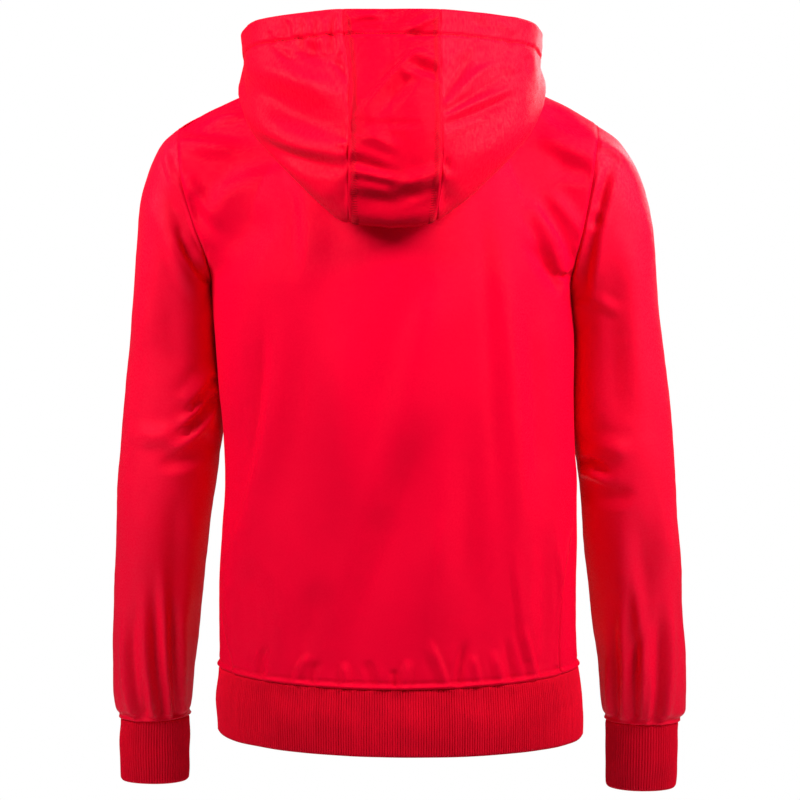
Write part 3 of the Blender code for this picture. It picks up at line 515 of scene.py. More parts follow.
def body_half(hand, z):
    """Half the body's width at height z, brought to the underarm at its top."""
    side = "left" if hand > 0 else "right"
    underarm = armhole_point(hand, "back", 0.0)
    miss = abs(underarm[0]) - smooth(BODY, "z", side, underarm[2])
    return smooth(BODY, "z", side, z) + miss * np.clip(1 + (z - underarm[2]) / 60.0, 0, 1)


def side_seam_point(hand, v):
    """The side seam from the hem (-1) to the underarm (0), on the body's oval."""
    side = "left" if hand > 0 else "right"
    top = armhole_point(hand, "back", 0.0)[2]
    z = BODY["z"][0] + (v + 1) * (top - BODY["z"][0])
    y = smooth(BODY, "z", side + "_seam_y", z)
    x = body_half(hand, z) * np.sqrt(np.maximum(1 - (y / 122.0) ** 2, 0))
    return np.stack([hand * x, y, z], axis=-1)


def low_rows(hand, face, v, u):
    """Below the arms: a quarter oval from the side seam (u 0) to the centre line (u 1)."""
    sign = 1.0 if face == "back" else -1.0
    centre = CENTRE_BACK if face == "back" else CENTRE_FRONT
    middle_y = smooth(centre, "v", "y", v)[:, None]
    middle_z = smooth(centre, "v", "z", v)[:, None]
    edge = side_seam_point(hand, v)
    half = body_half(hand, edge[:, 2])[:, None]
    turn = np.arcsin(np.clip(edge[:, 1:2] * sign / np.abs(middle_y), -1, 1))
    angle = turn + (math.pi / 2 - turn) * u
    x = hand * half * np.cos(angle)
    y = middle_y * np.sin(angle)
    x = x + (edge[:, :1] - x[:, :1]) * (1 - u) ** 2
    y = y + (edge[:, 1:2] - y[:, :1]) * (1 - u) ** 2
    z = edge[:, 2:] + (middle_z - edge[:, 2:]) * np.sin(angle) ** 2
    return np.stack([x, y, z], axis=-1)


def arm_rows(hand, face, v, u):
    """Between the arms: a cubic from the armhole (u 0) to the centre line (u 1)."""
    centre = CENTRE_BACK if face == "back" else CENTRE_FRONT
    zero = np.zeros_like(v)
    middle = np.stack([zero, smooth(centre, "v", "y", v), smooth(centre, "v", "z", v)], axis=-1)
    edge = armhole_point(hand, face, v)
    turn = np.arcsin(np.clip(edge[:, 1] / middle[:, 1], -1, 1))
    across = np.abs(edge[:, 0]) / np.cos(turn)
    pull = 4 / 3 * np.tan((math.pi / 2 - turn) / 4)
    lift = v**1.5
    round_way = np.stack([-hand * across * np.sin(turn), middle[:, 1] * np.cos(turn), zero], axis=-1)
    leave = pull[:, None] * round_way
    rise = middle - edge
    to_neck = np.stack([-hand * across * 0.5, rise[:, 1] * 0.2, rise[:, 2] * 0.35], axis=-1)
    leave += lift[:, None] * (to_neck - leave)
    arrive = np.stack([hand * across * pull, zero, -6.0 * lift], axis=-1)
    points = [part[:, None] for part in (edge, edge + leave, middle + arrive, middle)]
    return bezier(*points, np.broadcast_to(u, (len(v), len(u))))


def top_row(hand, face, u):
    """The shoulder seam, straight with a low sine crown, then the neck oval."""
    shoulder_end, panel_start, last = BACK_COLUMNS if face == "back" else FRONT_COLUMNS
    seam = LEFT_PANEL_ANGLE if hand > 0 else RIGHT_PANEL_ANGLE
    angles = (90, seam, 0) if face == "back" else (90, FRONT_END_ANGLE, 180)
    tip = armhole_point(hand, face, 1.0)
    corner = neck_point(90.0) * (hand, 1, 1)
    at = u * last
    t = np.clip(at / shoulder_end, 0, 1)
    shoulder = tip + (corner - tip) * t[:, None]
    shoulder[:, 2] += SHOULDER_CROWN * np.sin(math.pi * t)
    neck = neck_point(np.interp(at, (shoulder_end, panel_start, last), angles)) * (hand, 1, 1)
    return np.where(at[:, None] < shoulder_end, shoulder, neck)


def body_panel(face, rows, columns):
    """The whole back or front as a grid, hem to neck and left to right from outside."""
    u = np.linspace(0, 1, (BACK_COLUMNS if face == "back" else FRONT_COLUMNS)[2] * columns + 1)
    w = crowded(rows, 0.55)
    v = np.where(w < 0.66, w / 0.66 - 1, (w - 0.66) / 0.34)
    halves = []
    for hand in (1, -1):
        low = low_rows(hand, face, v[v <= 0], u)
        high = arm_rows(hand, face, v[v > 0], u)
        grid = np.concatenate([low, high])
        miss = top_row(hand, face, u) - grid[-1]
        grid += ease((v - 0.30) / 0.70)[:, None, None] * miss
        halves.append(grid)
    whole = np.concatenate([halves[0], halves[1][:, -2::-1]], axis=1)
    return whole if face == "back" else whole[:, ::-1]


def oval(table, at, angles, hand):
    """Rings between an outer and an inner point: middle + cosine of reach + sine of depth."""
    get = {name: smooth(table, "ring", name, at)[:, None] for name in table if name != "ring"}
    cos, sin = np.cos(angles), np.sin(angles)
    x = (get["outer_x"] + get["inner_x"]) / 2 + (get["outer_x"] - get["inner_x"]) / 2 * cos
    y = get["mid_y"] + get["depth"] * sin
    z = (get["outer_z"] + get["inner_z"]) / 2 + (get["outer_z"] - get["inner_z"]) / 2 * cos
    return np.stack([hand * x, y, z], axis=-1)


def sleeve_tube(hand, rows, columns):
    """Rings from the armhole to the cuff seam; the first ones keep the armhole's own shape."""
    table = SLEEVE_LEFT if hand > 0 else SLEEVE_RIGHT
    angles = math.pi - np.linspace(0, 2 * math.pi, columns + 1)[:-1]
    at = SLEEVE_RINGS * crowded(rows, 0.35)
    grid = oval(table, at, angles, hand)
    half = columns // 2
    steps = np.linspace(0, 1, half + 1)
    up_back = armhole_point(hand, "back", steps)
    down_front = armhole_point(hand, "front", steps)[::-1]
    hole = np.concatenate([up_back, down_front[1:-1]])
    keep = np.interp(at, (0, 1, 2, 3, 4), (1, 0.62, 0.3, 0.1, 0))
    return grid + keep[:, None, None] * (hole - grid[0])


def cuff_tube(hand, rows, columns):
    """Oval rings from the cuff seam to the open end."""
    table = CUFF_LEFT if hand > 0 else CUFF_RIGHT
    angles = math.pi - np.linspace(0, 2 * math.pi, columns + 1)[:-1]
    return oval(table, 2 * crowded(rows, 0.5), angles, hand)


def hem_loop(columns):
    """The hem seam all round, in equal steps of length, from the left side over the back."""
    back = body_panel("back", 2, 6)[0]
    front = body_panel("front", 2, 6)[0]
    loop = np.concatenate([back[:-1], front])
    length = np.concatenate([[0], np.cumsum(np.linalg.norm(np.diff(loop, axis=0), axis=1))])
    at = np.linspace(0, length[-1], columns + 1)[:-1]
    return np.stack([np.interp(at, length, loop[:, i]) for i in range(3)], axis=-1)


def band_tube(rows, columns):
    """The hem band: the hem seam moved down and a little out, its bottom edge level."""
    loop = hem_loop(columns)
    along = np.roll(loop, -9, axis=0) - np.roll(loop, 9, axis=0)
    away = unit(np.stack([along[:, 1], -along[:, 0], 0 * along[:, 0]], axis=-1))
    away *= np.sign((away * loop).sum(axis=1))[:, None]
    share = (0.5 - 0.5 * loop[:, :1] / BODY["left"][0]).clip(0, 1)
    at = 2 * crowded(rows, 0.5)
    out, down = (
        (1 - share) * smooth(BAND, "row", "left_" + name, at)[:, None, None]
        + share * smooth(BAND, "row", "right_" + name, at)[:, None, None]
        for name in ("out", "down")
    )
    level = (BODY["z"][0] - loop[:, 2:]) * at[:, None, None] / 2
    return loop + away * out + np.array([0, 0, 1.0]) * (level - down)


def hood_sheet(angles, hand, rows):
    """Hood sections side by side: neck seam, stand, fold on the back, bulge and rim, each a cubic."""
    get = {name: smooth(HOOD, "angle", name, angles)[:, None] for name in HOOD if name != "angle"}
    base = neck_point(angles)
    way = np.radians(get["way"][:, 0])
    out = np.stack([np.cos(way), np.sin(way), 0 * way], axis=-1)
    up = np.array([0.0, 0.0, 1.0])
    flat = np.array([1.0, 1.0, 0.0])
    stand = base + out * get["stand_out"] + up * get["stand_up"]
    fold = base * flat + out * get["fold_out"] + up * get["fold_z"]
    bulge = base * flat + out * get["bulge_out"] + up * get["bulge_z"]
    rim = base * flat + out * get["rim_out"] + up * get["rim_z"]
    near, turned, high = (
        np.linalg.norm(b - a, axis=-1, keepdims=True) for a, b in ((stand, fold), (fold, bulge), (bulge, rim))
    )
    lean_in = unit(rim - bulge + up * 0.4 * high)
    stages = (
        (base, up * get["stand_up"] * 1.3, stand, out * get["stand_out"] * 1.3),
        (stand, out * near * 0.30, fold, out * near * 0.32),
        (fold, out * turned * 1.1, bulge, up * turned * 1.1),
        (bulge, up * high, rim, lean_in * high),
    )
    parts = [base[None]]
    for stage, count in zip(stages, rows):
        t = np.linspace(0, 1, count + 1)[1:, None]
        parts.append(hermite(*stage, np.broadcast_to(t, (count, len(angles)))))
    grid = np.concatenate(parts)
    away = np.clip(np.linalg.norm((grid - base) * flat, axis=-1) / 60.0, 0, 1)
    grid[..., 0] = grid[..., 0] * hand + HOOD_LEAN * away
    for seam_x, low_slide, high_slide in HOOD_SEAM_SLIDES:
        slide = low_slide * ease((-90 - grid[..., 2]) / 70) + high_slide * ease((grid[..., 2] + 20) / 70)
        grid[..., 0] += slide * away * bell(grid[..., 0] - seam_x, 26.0)
    return grid


def hood_panels(rows, side_columns, centre_columns):
    """The left, centre and right hood panels, columns running left to right from outside."""
    halves, sides = [], []
    for hand, seam in ((1, LEFT_PANEL_ANGLE), (-1, RIGHT_PANEL_ANGLE)):
        halves.append(hood_sheet(np.linspace(seam, 0, centre_columns // 2 + 1), hand, rows))
        sides.append(hood_sheet(np.linspace(seam, FRONT_END_ANGLE, side_columns + 1), hand, rows))
    left_half, right_half = halves
    left_half[:, -1] = (left_half[:, -1] + right_half[:, -1]) / 2
    centre = np.concatenate([left_half, right_half[:, -2::-1]], axis=1)
    return sides[0][:, ::-1], centre, sides[1]


# ---------------------------------------------------------------- cloth relief
def relax(grid, passes, closed=False):
    """Evens a grid and keeps its size: inside points go half way to their neighbours' mean, then back."""
    inside = slice(None) if closed else slice(1, -1)
    for share in (0.5, -0.53) * passes:
        beside = np.roll(grid, 1, axis=1) + np.roll(grid, -1, axis=1)
        mean = (beside[1:-1] + grid[2:] + grid[:-2]) / 4
        grid[1:-1, inside] += share * (mean - grid[1:-1])[:, inside]
    return grid


def grid_normals(grid, closed, turn):
    """Outward directions: the cross product of the steps along a row and up a column."""
    if closed:
        along = np.roll(grid, -1, axis=1) - np.roll(grid, 1, axis=1)
    else:
        along = np.gradient(grid, axis=1)
    return unit(np.cross(along, np.gradient(grid, axis=0))) * turn


def edge_lengths(grid):
    """Lengths along the grid from its first row, last row, first column and last column."""
    up = np.linalg.norm(np.diff(grid, axis=0), axis=-1)
    across = np.linalg.norm(np.diff(grid, axis=1), axis=-1)
    first_row = np.concatenate([np.zeros((1, grid.shape[1])), np.cumsum(up, axis=0)])
    first_column = np.concatenate([np.zeros((grid.shape[0], 1)), np.cumsum(across, axis=1)], axis=1)
    return first_row, first_row[-1:] - first_row, first_column, first_column[:, -1:] - first_column


def crease_relief(points, creases):
    """Height of all creases: across each a bell with low lips, along it full and faded at its ends.

    Its middle line is the quadratic curve through its three points. A point's
    height comes from the nearest of twelve short straight parts of that line.
    """
    flat = points[..., [0, 2]].reshape(-1, 2)
    height = np.zeros(len(flat))
    t = np.linspace(0, 1, 13)[:, None]
    for x0, z0, xm, zm, x1, z1, half, rise, lean, first, last in creases:
        a, m, b = np.array([x0, z0]), np.array([xm, zm]), np.array([x1, z1])
        line = (1 - t) ** 2 * a + 2 * t * (1 - t) * (2 * m - (a + b) / 2) + t * t * b
        low, high = line.min(axis=0) - 4 * half, line.max(axis=0) + 4 * half
        near = np.flatnonzero(((flat > low) & (flat < high)).all(axis=1))
        step = np.diff(line, axis=0)
        reach = flat[near, None] - line[:-1]
        along = np.clip((reach * step).sum(-1) / (step**2).sum(-1), 0, 1)
        off = reach - along[..., None] * step
        distance = np.linalg.norm(off, axis=-1)
        best = distance.argmin(axis=1)
        row = np.arange(len(near))
        side = np.sign(step[best, 0] * off[row, best, 1] - step[best, 1] * off[row, best, 0])
        share = (best + along[row, best]) / 12
        s = side * distance[row, best] / half
        s *= 1 + lean * np.tanh(s)
        across = bell(s, 1.0) - 0.22 * bell(np.abs(s) - 1.8, 0.75)
        ends = (first + (1 - first) * ease(share / 0.4)) * (last + (1 - last) * ease((1 - share) / 0.4))
        height[near] += rise * across * ends
    return height.reshape(points.shape[:-1])


def ripples(points, cloth):
    """Slow unevenness: for each row of its table, nine sine waves in fixed, differing directions."""
    height = np.zeros(points.shape[:-1])
    for seed, size, rise in RIPPLES[cloth]:
        source = np.random.default_rng(seed)
        ways = unit(source.normal(size=(9, 3)))
        lengths = size * source.uniform(0.6, 1.7, 9)
        phases = source.uniform(0, 2 * math.pi, 9)
        waves = np.sin(points @ ways.T * 2 * math.pi / lengths + phases)
        height += rise * waves.sum(axis=-1) / 3
    return height


def facing(normals, side):
    """0 to 1 by how far the surface faces the back (side 1) or the front (side -1)."""
    return ease(normals[..., 1] * side * 1.4 + 0.25)


def dressed(grid, normals, creases, side):
    """Crease relief where the surface faces the given side."""
    return crease_relief(grid, creases) * facing(normals, side)


def seam_groove(distance, depth, width=1.5):
    """The dip into a seam: depth times a bell of the distance from it."""
    return -depth * bell(distance, width)


def rib_seam_roll(distance, height):
    """Cloth rolled over a rib seam: a dip at the seam, a round ridge, then a shallow valley."""
    return (
        -0.6 * height * bell(distance, 1.0)
        + height * bell(distance - 2.3, 1.5)
        - 0.45 * height * bell(distance - 6.5, 2.2)
    )


def rib_profile(columns, height):
    """Round ribs and narrow valleys: the height times the square root of a raised cosine."""
    phase = np.arange(columns) % COLUMNS_PER_RIB / COLUMNS_PER_RIB
    return height * (np.sqrt(0.5 - 0.5 * np.cos(2 * math.pi * phase)) - 0.55)


# ---------------------------------------------------------------- meshes
def cell_corners(rows, columns, closed):
    """Corner numbers of a grid's cells, and the same without closing the last column."""
    width = columns if closed else columns - 1
    r, c = np.meshgrid(np.arange(rows - 1), np.arange(width), indexing="ij")
    r, c = r.ravel(), c.ravel()
    rows_of = np.stack([r, r, r + 1, r + 1], axis=-1)
    columns_of = np.stack([c, c + 1, c + 1, c], axis=-1)
    return rows_of * columns + columns_of % columns, rows_of * (columns + 1) + columns_of


def unrolled(grid, closed):
    """Lengths across and up the middle of a grid, in metres, as its flat pattern."""
    loop = np.concatenate([grid, grid[:, :1]], axis=1) if closed else grid
    middle = loop[len(loop) // 2]
    across = np.concatenate([[0], np.cumsum(np.linalg.norm(np.diff(middle, axis=0), axis=-1))])
    up = np.linalg.norm(np.diff(loop, axis=0), axis=-1).mean(axis=1)
    up = np.concatenate([[0], np.cumsum(up)])
    if not closed:
        across = np.append(across, across[-1])
    u, v = np.meshgrid(across, up)
    return np.stack([u, v], axis=-1).reshape(-1, 2) * MM


def wall_arrays(outer, inner, closed):
    """Points, faces and flat-pattern places of a closed wall between two grids with equal rims."""
    rows, columns = outer.shape[:2]
    inner_rows = inner.shape[0]
    base = rows * columns
    top = base + (inner_rows - 1) * columns
    outside, outside_uv = cell_corners(rows, columns, closed)
    inside, inside_uv = cell_corners(inner_rows, columns, closed)
    flat_outer, flat_inner = unrolled(outer, closed), unrolled(inner, closed)
    inside_uv = inside_uv + len(flat_outer)
    width = columns if closed else columns - 1
    c = np.arange(width)
    d = (c + 1) % columns
    last = (rows - 1) * columns
    low = np.stack([base + c, base + d, d, c], axis=-1)
    high = np.stack([last + c, last + d, top + d, top + c], axis=-1)
    low_uv = np.stack([c, c + 1, c + 1, c], axis=-1)
    high_uv = (rows - 1) * (columns + 1) + low_uv
    faces = [outside, base + inside[:, ::-1], low, high]
    places = [outside_uv, inside_uv[:, ::-1], low_uv, high_uv]
    if not closed:
        r = np.arange(rows - 1)
        for column, order in ((0, (0, 1, 2, 3)), (columns - 1, (3, 2, 1, 0))):
            at = r * columns + column
            ring = np.stack([at, at + columns, base + at + columns, base + at], axis=-1)
            at_uv = r * (columns + 1) + column
            ring_uv = np.stack([at_uv, at_uv + columns + 1, at_uv + columns + 1, at_uv], axis=-1)
            faces.append(ring[:, order])
            places.append(ring_uv[:, order])
    points = np.concatenate([outer.reshape(-1, 3), inner.reshape(-1, 3)])
    flats = np.concatenate([flat_outer, flat_inner])
    return points, np.concatenate(faces), flats[np.concatenate(places).ravel()]


def mesh_object(name, points, faces, flats, material):
    """A smooth mesh object at the origin from whole arrays; points are in millimetres."""
    mesh = bpy.data.meshes.new(name)
    count, corners = faces.shape
    mesh.vertices.add(len(points))
    mesh.vertices.foreach_set("co", (points * MM).ravel())
    mesh.loops.add(count * corners)
    mesh.loops.foreach_set("vertex_index", faces.ravel())
    mesh.polygons.add(count)
    mesh.polygons.foreach_set("loop_start", np.arange(count) * corners)
    mesh.polygons.foreach_set("use_smooth", np.ones(count, bool))
    if flats is not None:
        layer = mesh.uv_layers.new(name="cloth")
        layer.data.foreach_set("uv", flats.ravel())
    mesh.update(calc_edges=True)
    mesh.validate()
    mesh.materials.append(material)
    made = bpy.data.objects.new(name, mesh)
    bpy.context.scene.collection.objects.link(made)
    return made


def wall_object(name, outer, inner, closed, turn, material):
    """A closed wall between two grids, its faces turned over where the grid runs the other way."""
    points, faces, flats = wall_arrays(outer, inner, closed)
    if turn < 0:
        flats = flats.reshape(-1, 4, 2)[:, ::-1].reshape(-1, 2)
        faces = faces[:, ::-1]
    return mesh_object(name, points, faces, flats, material)


def cloth_object(name, outer, normals, wall, closed, turn, material, inner_rows=1):
    """A cloth wall: the outer grid and the same grid moved in by the wall, with rims.

    The inner grid keeps every inner_rows-th row; the count of steps is a multiple of it.
    """
    inner = (outer - normals * np.asarray(wall)[..., None])[::inner_rows]
    return wall_object(name, outer, inner, closed, turn, material)


def stitch_arrays(middles, ways, normals, length, radius):
    """Many short threads: each a six-sided bar, its ring a circle, narrowed and sunk at both ends."""
    along = np.array([-0.5, -0.36, 0.0, 0.36, 0.5])
    wide = np.array([0.15, 0.85, 1.0, 0.85, 0.15])
    sink = np.array([-0.9, -0.2, 0.25, -0.2, -0.9])
    turn = np.linspace(0, 2 * math.pi, 7)[:-1]
    side = np.cross(ways, normals)
    ring_side = np.cos(turn)[None, :] * wide[:, None] * radius
    ring_up = np.sin(turn)[None, :] * wide[:, None] * radius + (sink * radius)[:, None]
    shape = (
        along[None, :, None, None] * length * ways[:, None, None]
        + ring_side[None, ..., None] * side[:, None, None]
        + ring_up[None, ..., None] * normals[:, None, None]
    )
    points = (middles[:, None, None] + shape).reshape(-1, 3)
    r, c = np.meshgrid(np.arange(4), np.arange(6), indexing="ij")
    r, c = r.ravel(), c.ravel()
    one = np.stack([r * 6 + c, (r + 1) * 6 + c, (r + 1) * 6 + (c + 1) % 6, r * 6 + (c + 1) % 6], axis=-1)
    caps = np.array([[0, 1, 2, 3], [3, 4, 5, 0], [27, 26, 25, 24], [24, 29, 28, 27]])
    faces = (np.arange(len(middles)) * 30)[:, None, None] + np.concatenate([one, caps])[None]
    return points, faces.reshape(-1, 4)


def along_line(line, normals, spacing):
    """Places in equal steps of length along a line of points, with its way and normals there."""
    length = np.concatenate([[0], np.cumsum(np.linalg.norm(np.diff(line, axis=0), axis=-1))])
    at = np.arange(spacing, length[-1] - spacing, spacing)
    place, normal, ahead = (
        np.stack([np.interp(x, length, values[:, i]) for i in range(3)], axis=-1)
        for x, values in ((at, line), (at, normals), (at + 0.5, line))
    )
    normal = unit(normal)
    way = unit(ahead - place)
    way = unit(way - (way * normal).sum(-1, keepdims=True) * normal)
    return place, way, normal


# ---------------------------------------------------------------- materials
def node_maker(material):
    """A function that adds a node and sets its inputs and properties, and the node tree's links."""
    tree = material.node_tree

    def add(kind, inputs=None, **properties):
        made = tree.nodes.new(kind)
        for name, value in properties.items():
            setattr(made, name, value)
        for name, value in (inputs or {}).items():
            if isinstance(value, bpy.types.NodeSocket):
                tree.links.new(value, made.inputs[name])
            else:
                made.inputs[name].default_value = value
        return made

    return add


def new_material(name):
    """An empty material, and the function that adds its nodes."""
    material = bpy.data.materials.new(name)
    material.use_nodes = True
    material.node_tree.nodes.clear()
    return material, node_maker(material)


def shaded(colour, factor):
    """The colour times a factor, with full alpha."""
    return (colour[0] * factor, colour[1] * factor, colour[2] * factor, 1.0)


def noise(add, vector, scale, detail, roughness=0.5):
    """A cloudy pattern, from 0 to 1."""
    inputs = {"Vector": vector, "Scale": scale, "Detail": detail, "Roughness": roughness}
    return add("ShaderNodeTexNoise", inputs).outputs["Fac"]


def waves(add, vector, pitch, distortion, direction="X", detail=2.0):
    """Even waves, pitch metres from crest to crest: the node's own is a tenth of pi over its scale."""
    inputs = {"Vector": vector, "Scale": math.pi / 10 / pitch, "Distortion": distortion, "Detail": detail}
    return add("ShaderNodeTexWave", inputs, wave_type="BANDS", bands_direction=direction).outputs["Fac"]


def ranged(add, value, low, high, to_low=0.0, to_high=1.0):
    """A value between low and high, mapped evenly and held there."""
    inputs = {"Value": value, "From Min": low, "From Max": high, "To Min": to_low, "To Max": to_high}
    return add("ShaderNodeMapRange", inputs).outputs["Result"]


def mixed(add, share, first, second):
    """The first colour, turning into the second by the share."""
    inputs = {"Factor": share, "A": first, "B": second}
    return add("ShaderNodeMix", inputs, data_type="RGBA").outputs["Result"]


def summed(add, first, second):
    """The sum of two values."""
    return add("ShaderNodeMath", {0: first, 1: second}, operation="ADD").outputs["Value"]


def bumped(add, height, strength, distance):
    """The surface's direction, turned by a fine relief."""
    inputs = {"Height": height, "Strength": strength, "Distance": distance}
    return add("ShaderNodeBump", inputs).outputs["Normal"]


def finished(add, inputs):
    """A shader with these inputs on the material's surface."""
    shader = add("ShaderNodeBsdfPrincipled", inputs)
    add("ShaderNodeOutputMaterial", {"Surface": shader.outputs["BSDF"]})


def jersey_material(part, colours):
    """Smooth shiny knit: fine wales and courses as bump, soft cloudy tone, glints, pale sheen."""
    colour = getattr(colours, part)
    share, roughness = JERSEY_FINISH[part]
    gloss = colours.gloss * share
    pitch = colours.wale_pitch
    material, add = new_material("jersey_" + part)
    flat = add("ShaderNodeUVMap", uv_map="cloth").outputs["UV"]
    place = add("ShaderNodeTexCoord").outputs["Object"]
    tone = ranged(add, noise(add, place, 9.0, 3.0), 0.3, 0.7)
    speck = noise(add, flat, 450.0, 2.0, 0.7)
    deep = mixed(add, tone, shaded(colour, 0.90), shaded(colour, 1.0))
    heather = mixed(add, ranged(add, speck, 0.25, 0.75), shaded(colour, 0.88), deep)
    wales = waves(add, flat, pitch, 0.6)
    courses = waves(add, flat, pitch * 1.3, 1.2, "Y")
    relief = summed(add, summed(add, wales, courses), speck)
    inputs = {
        "Base Color": mixed(add, 0.55, deep, heather),
        "Roughness": roughness,
        "Specular IOR Level": ranged(add, speck, 0.35, 0.65, gloss * 0.2, gloss * 2.0),
        "Specular Tint": (1.0, 0.55, 0.65, 1.0),
        "Sheen Weight": colours.sheen,
        "Sheen Roughness": 0.4,
        "Sheen Tint": (1.0, 0.5, 0.75, 1.0),
        "Normal": bumped(add, relief, 0.35, 0.00018),
    }
    finished(add, inputs)
    return material


def rib_material(colours):
    """Matt rib knit: stitches up each rib as bump, heathered tone, soft nap."""
    colour = colours.rib
    material, add = new_material("rib_knit")
    flat = add("ShaderNodeUVMap", uv_map="cloth").outputs["UV"]
    place = add("ShaderNodeTexCoord").outputs["Object"]
    tone = ranged(add, noise(add, place, 16.0, 4.0, 0.6), 0.3, 0.7)
    speck = noise(add, flat, 520.0, 3.0, 0.75)
    deep = mixed(add, tone, shaded(colour, 0.84), shaded(colour, 1.06))
    heather = mixed(add, ranged(add, speck, 0.3, 0.7), shaded(colour, 0.72), deep)
    courses = waves(add, flat, 0.00075, 1.5, "Y", 1.0)
    inputs = {
        "Base Color": mixed(add, 0.5, deep, heather),
        "Roughness": 0.8,
        "Specular IOR Level": 0.06,
        "Specular Tint": (1.0, 0.5, 0.7, 1.0),
        "Sheen Weight": 0.04,
        "Sheen Roughness": 0.5,
        "Sheen Tint": (1.0, 0.4, 0.6, 1.0),
        "Normal": bumped(add, summed(add, courses, speck), 0.6, 0.0003),
    }
    finished(add, inputs)
    return material


def thread_material(colours):
    """Sewing thread: the slanting ridges of its ply as fine bump, painted shade in their grooves and painted
    light on their crests, and a light gloss.
    """
    colour = colours.thread
    material, add = new_material("sewing_thread")
    place = add("ShaderNodeTexCoord").outputs["Object"]
    turned = add("ShaderNodeMapping", {"Vector": place, "Rotation": (0.0, 0.8, 0.6)}).outputs["Vector"]
    twist_relief_and_painted_shade = waves(add, turned, 0.00035, 0.5)
    inputs = {
        # Base colour darker in the ridges' grooves and lighter on their crests: painted shade and painted
        # light over the bump.
        "Base Color": mixed(add, twist_relief_and_painted_shade, shaded(colour, 0.8), shaded(colour, 1.1)),
        "Roughness": 0.5,
        "Specular IOR Level": 0.1,
        "Normal": bumped(add, twist_relief_and_painted_shade, 0.4, 0.0001),
    }
    finished(add, inputs)
    return material


def studio_material():
    """Matt pale studio surface with a very faint cloudy tone, lit from within so that it stays pale."""
    material, add = new_material("studio_floor")
    place = add("ShaderNodeTexCoord").outputs["Object"]
    tone = mixed(add, noise(add, place, 1.5, 2.0), shaded(FLOOR_COLOUR, 0.98), shaded(FLOOR_COLOUR, 1.0))
    inputs = {
        "Base Color": tone,
        "Roughness": 0.9,
        "Emission Color": tone,
        "Emission Strength": FLOOR_GLOW,
    }
    finished(add, inputs)
    return material


# ---------------------------------------------------------------- settings
class PulloverClothSettings(bpy.types.PropertyGroup):
    wall: FloatProperty(
        name="Cloth thickness", description="Thickness of the jersey", default=0.0013, unit="LENGTH"
    )
    seam_depth: FloatProperty(
        name="Seam depth", description="How far the cloth dips into a seam", default=0.0006, unit="LENGTH"
    )
    crease_share: FloatProperty(
        name="Crease share", description="How full the creases are", default=1.0, subtype="FACTOR"
    )
    underarm_swell: FloatProperty(
        name="Underarm swell", description="Swell of the sleeve's underarm", default=0.0055, unit="LENGTH"
    )
    hem_roll: FloatProperty(
        name="Hem roll", description="Height of the cloth over a rib seam", default=0.0019, unit="LENGTH"
    )


class PulloverRibSettings(bpy.types.PropertyGroup):
    band_ribs: IntProperty(name="Band ribs", description="Ribs round the hem band", default=384)
    cuff_ribs: IntProperty(name="Cuff ribs", description="Ribs round each cuff", default=80)
    rib_height: FloatProperty(
        name="Rib height", description="Height of a rib over its valley", default=0.0014, unit="LENGTH"
    )
    wall: FloatProperty(
        name="Rib thickness", description="Thickness of the rib knit", default=0.0022, unit="LENGTH"
    )


class PulloverSewingSettings(bpy.types.PropertyGroup):
    hem_depth: FloatProperty(
        name="Hood hem depth", description="From the edge to the stitch row", default=0.025, unit="LENGTH"
    )
    stitch_pitch: FloatProperty(
        name="Stitch pitch", description="From one hem stitch to the next", default=0.0034, unit="LENGTH"
    )
    rung_pitch: FloatProperty(
        name="Cover stitch pitch", description="From one to the next", default=0.0024, unit="LENGTH"
    )


class PulloverColourSettings(bpy.types.PropertyGroup):
    body: FloatVectorProperty(
        name="Body", description="Colour of the body", subtype="COLOR", default=(0.92, 0.0, 0.0270)
    )
    # The sleeves are the same jersey as the body: their lighter colour is painted light, for the side lights
    # that fall on them more than on the back.
    sleeve: FloatVectorProperty(
        name="Sleeves", description="Colour of the sleeves", subtype="COLOR", default=(1.0, 0.002, 0.0330)
    )
    hood: FloatVectorProperty(
        name="Hood", description="Colour of the hood", subtype="COLOR", default=(0.90, 0.001, 0.0235)
    )
    # The hood's centre panel is the same jersey as the side panels: its darker colour is painted shade, for
    # the lesser light it takes as it faces back and turns under.
    hood_centre: FloatVectorProperty(
        name="Hood centre",
        description="Colour of the hood's centre panel",
        subtype="COLOR",
        default=(0.76, 0.0, 0.018),
    )
    rib: FloatVectorProperty(
        name="Ribs", description="Colour of the rib knit", subtype="COLOR", default=(0.91, 0.002, 0.0235)
    )
    thread: FloatVectorProperty(
        name="Thread", description="Colour of the sewing thread", subtype="COLOR", default=(0.52, 0.0, 0.011)
    )
    sheen: FloatProperty(name="Sheen", description="Pale nap seen edge on", default=0.02, subtype="FACTOR")
    gloss: FloatProperty(
        name="Gloss", description="How much light the jersey mirrors", default=0.06, subtype="FACTOR"
    )
    wale_pitch: FloatProperty(
        name="Wale pitch", description="From one column of knit to the next", default=0.00044, unit="LENGTH"
    )


class PulloverStageSettings(bpy.types.PropertyGroup):
    floor_height: FloatProperty(
        name="Floor height", description="Height of the floor", default=-1.45, unit="LENGTH"
    )
    softbox_power: FloatProperty(
        name="Softboxes", description="Power of the soft light on each side", default=7.0, unit="POWER"
    )
    beam: FloatProperty(
        name="Beam", description="How widely the high lights spread", default=1.25, subtype="ANGLE"
    )
    edge_power: FloatProperty(
        name="Edge light", description="Power of the light on the right edge", default=2.2, unit="POWER"
    )
    fill_power: FloatProperty(
        name="Low fills", description="Power of the low light on each side", default=0.19, unit="POWER"
    )
    front_power: FloatProperty(
        name="Front light", description="Power of the light on the hidden front", default=20.0, unit="POWER"
    )
    ambient: FloatProperty(
        name="Ambient light", description="Strength of the even light all round", default=0.08
    )
    camera_distance: FloatProperty(
        name="Camera distance", description="From the origin to the camera", default=2.6, unit="LENGTH"
    )
    lens: FloatProperty(name="Lens", description="Focal length on a 36 mm sensor", default=114.7)


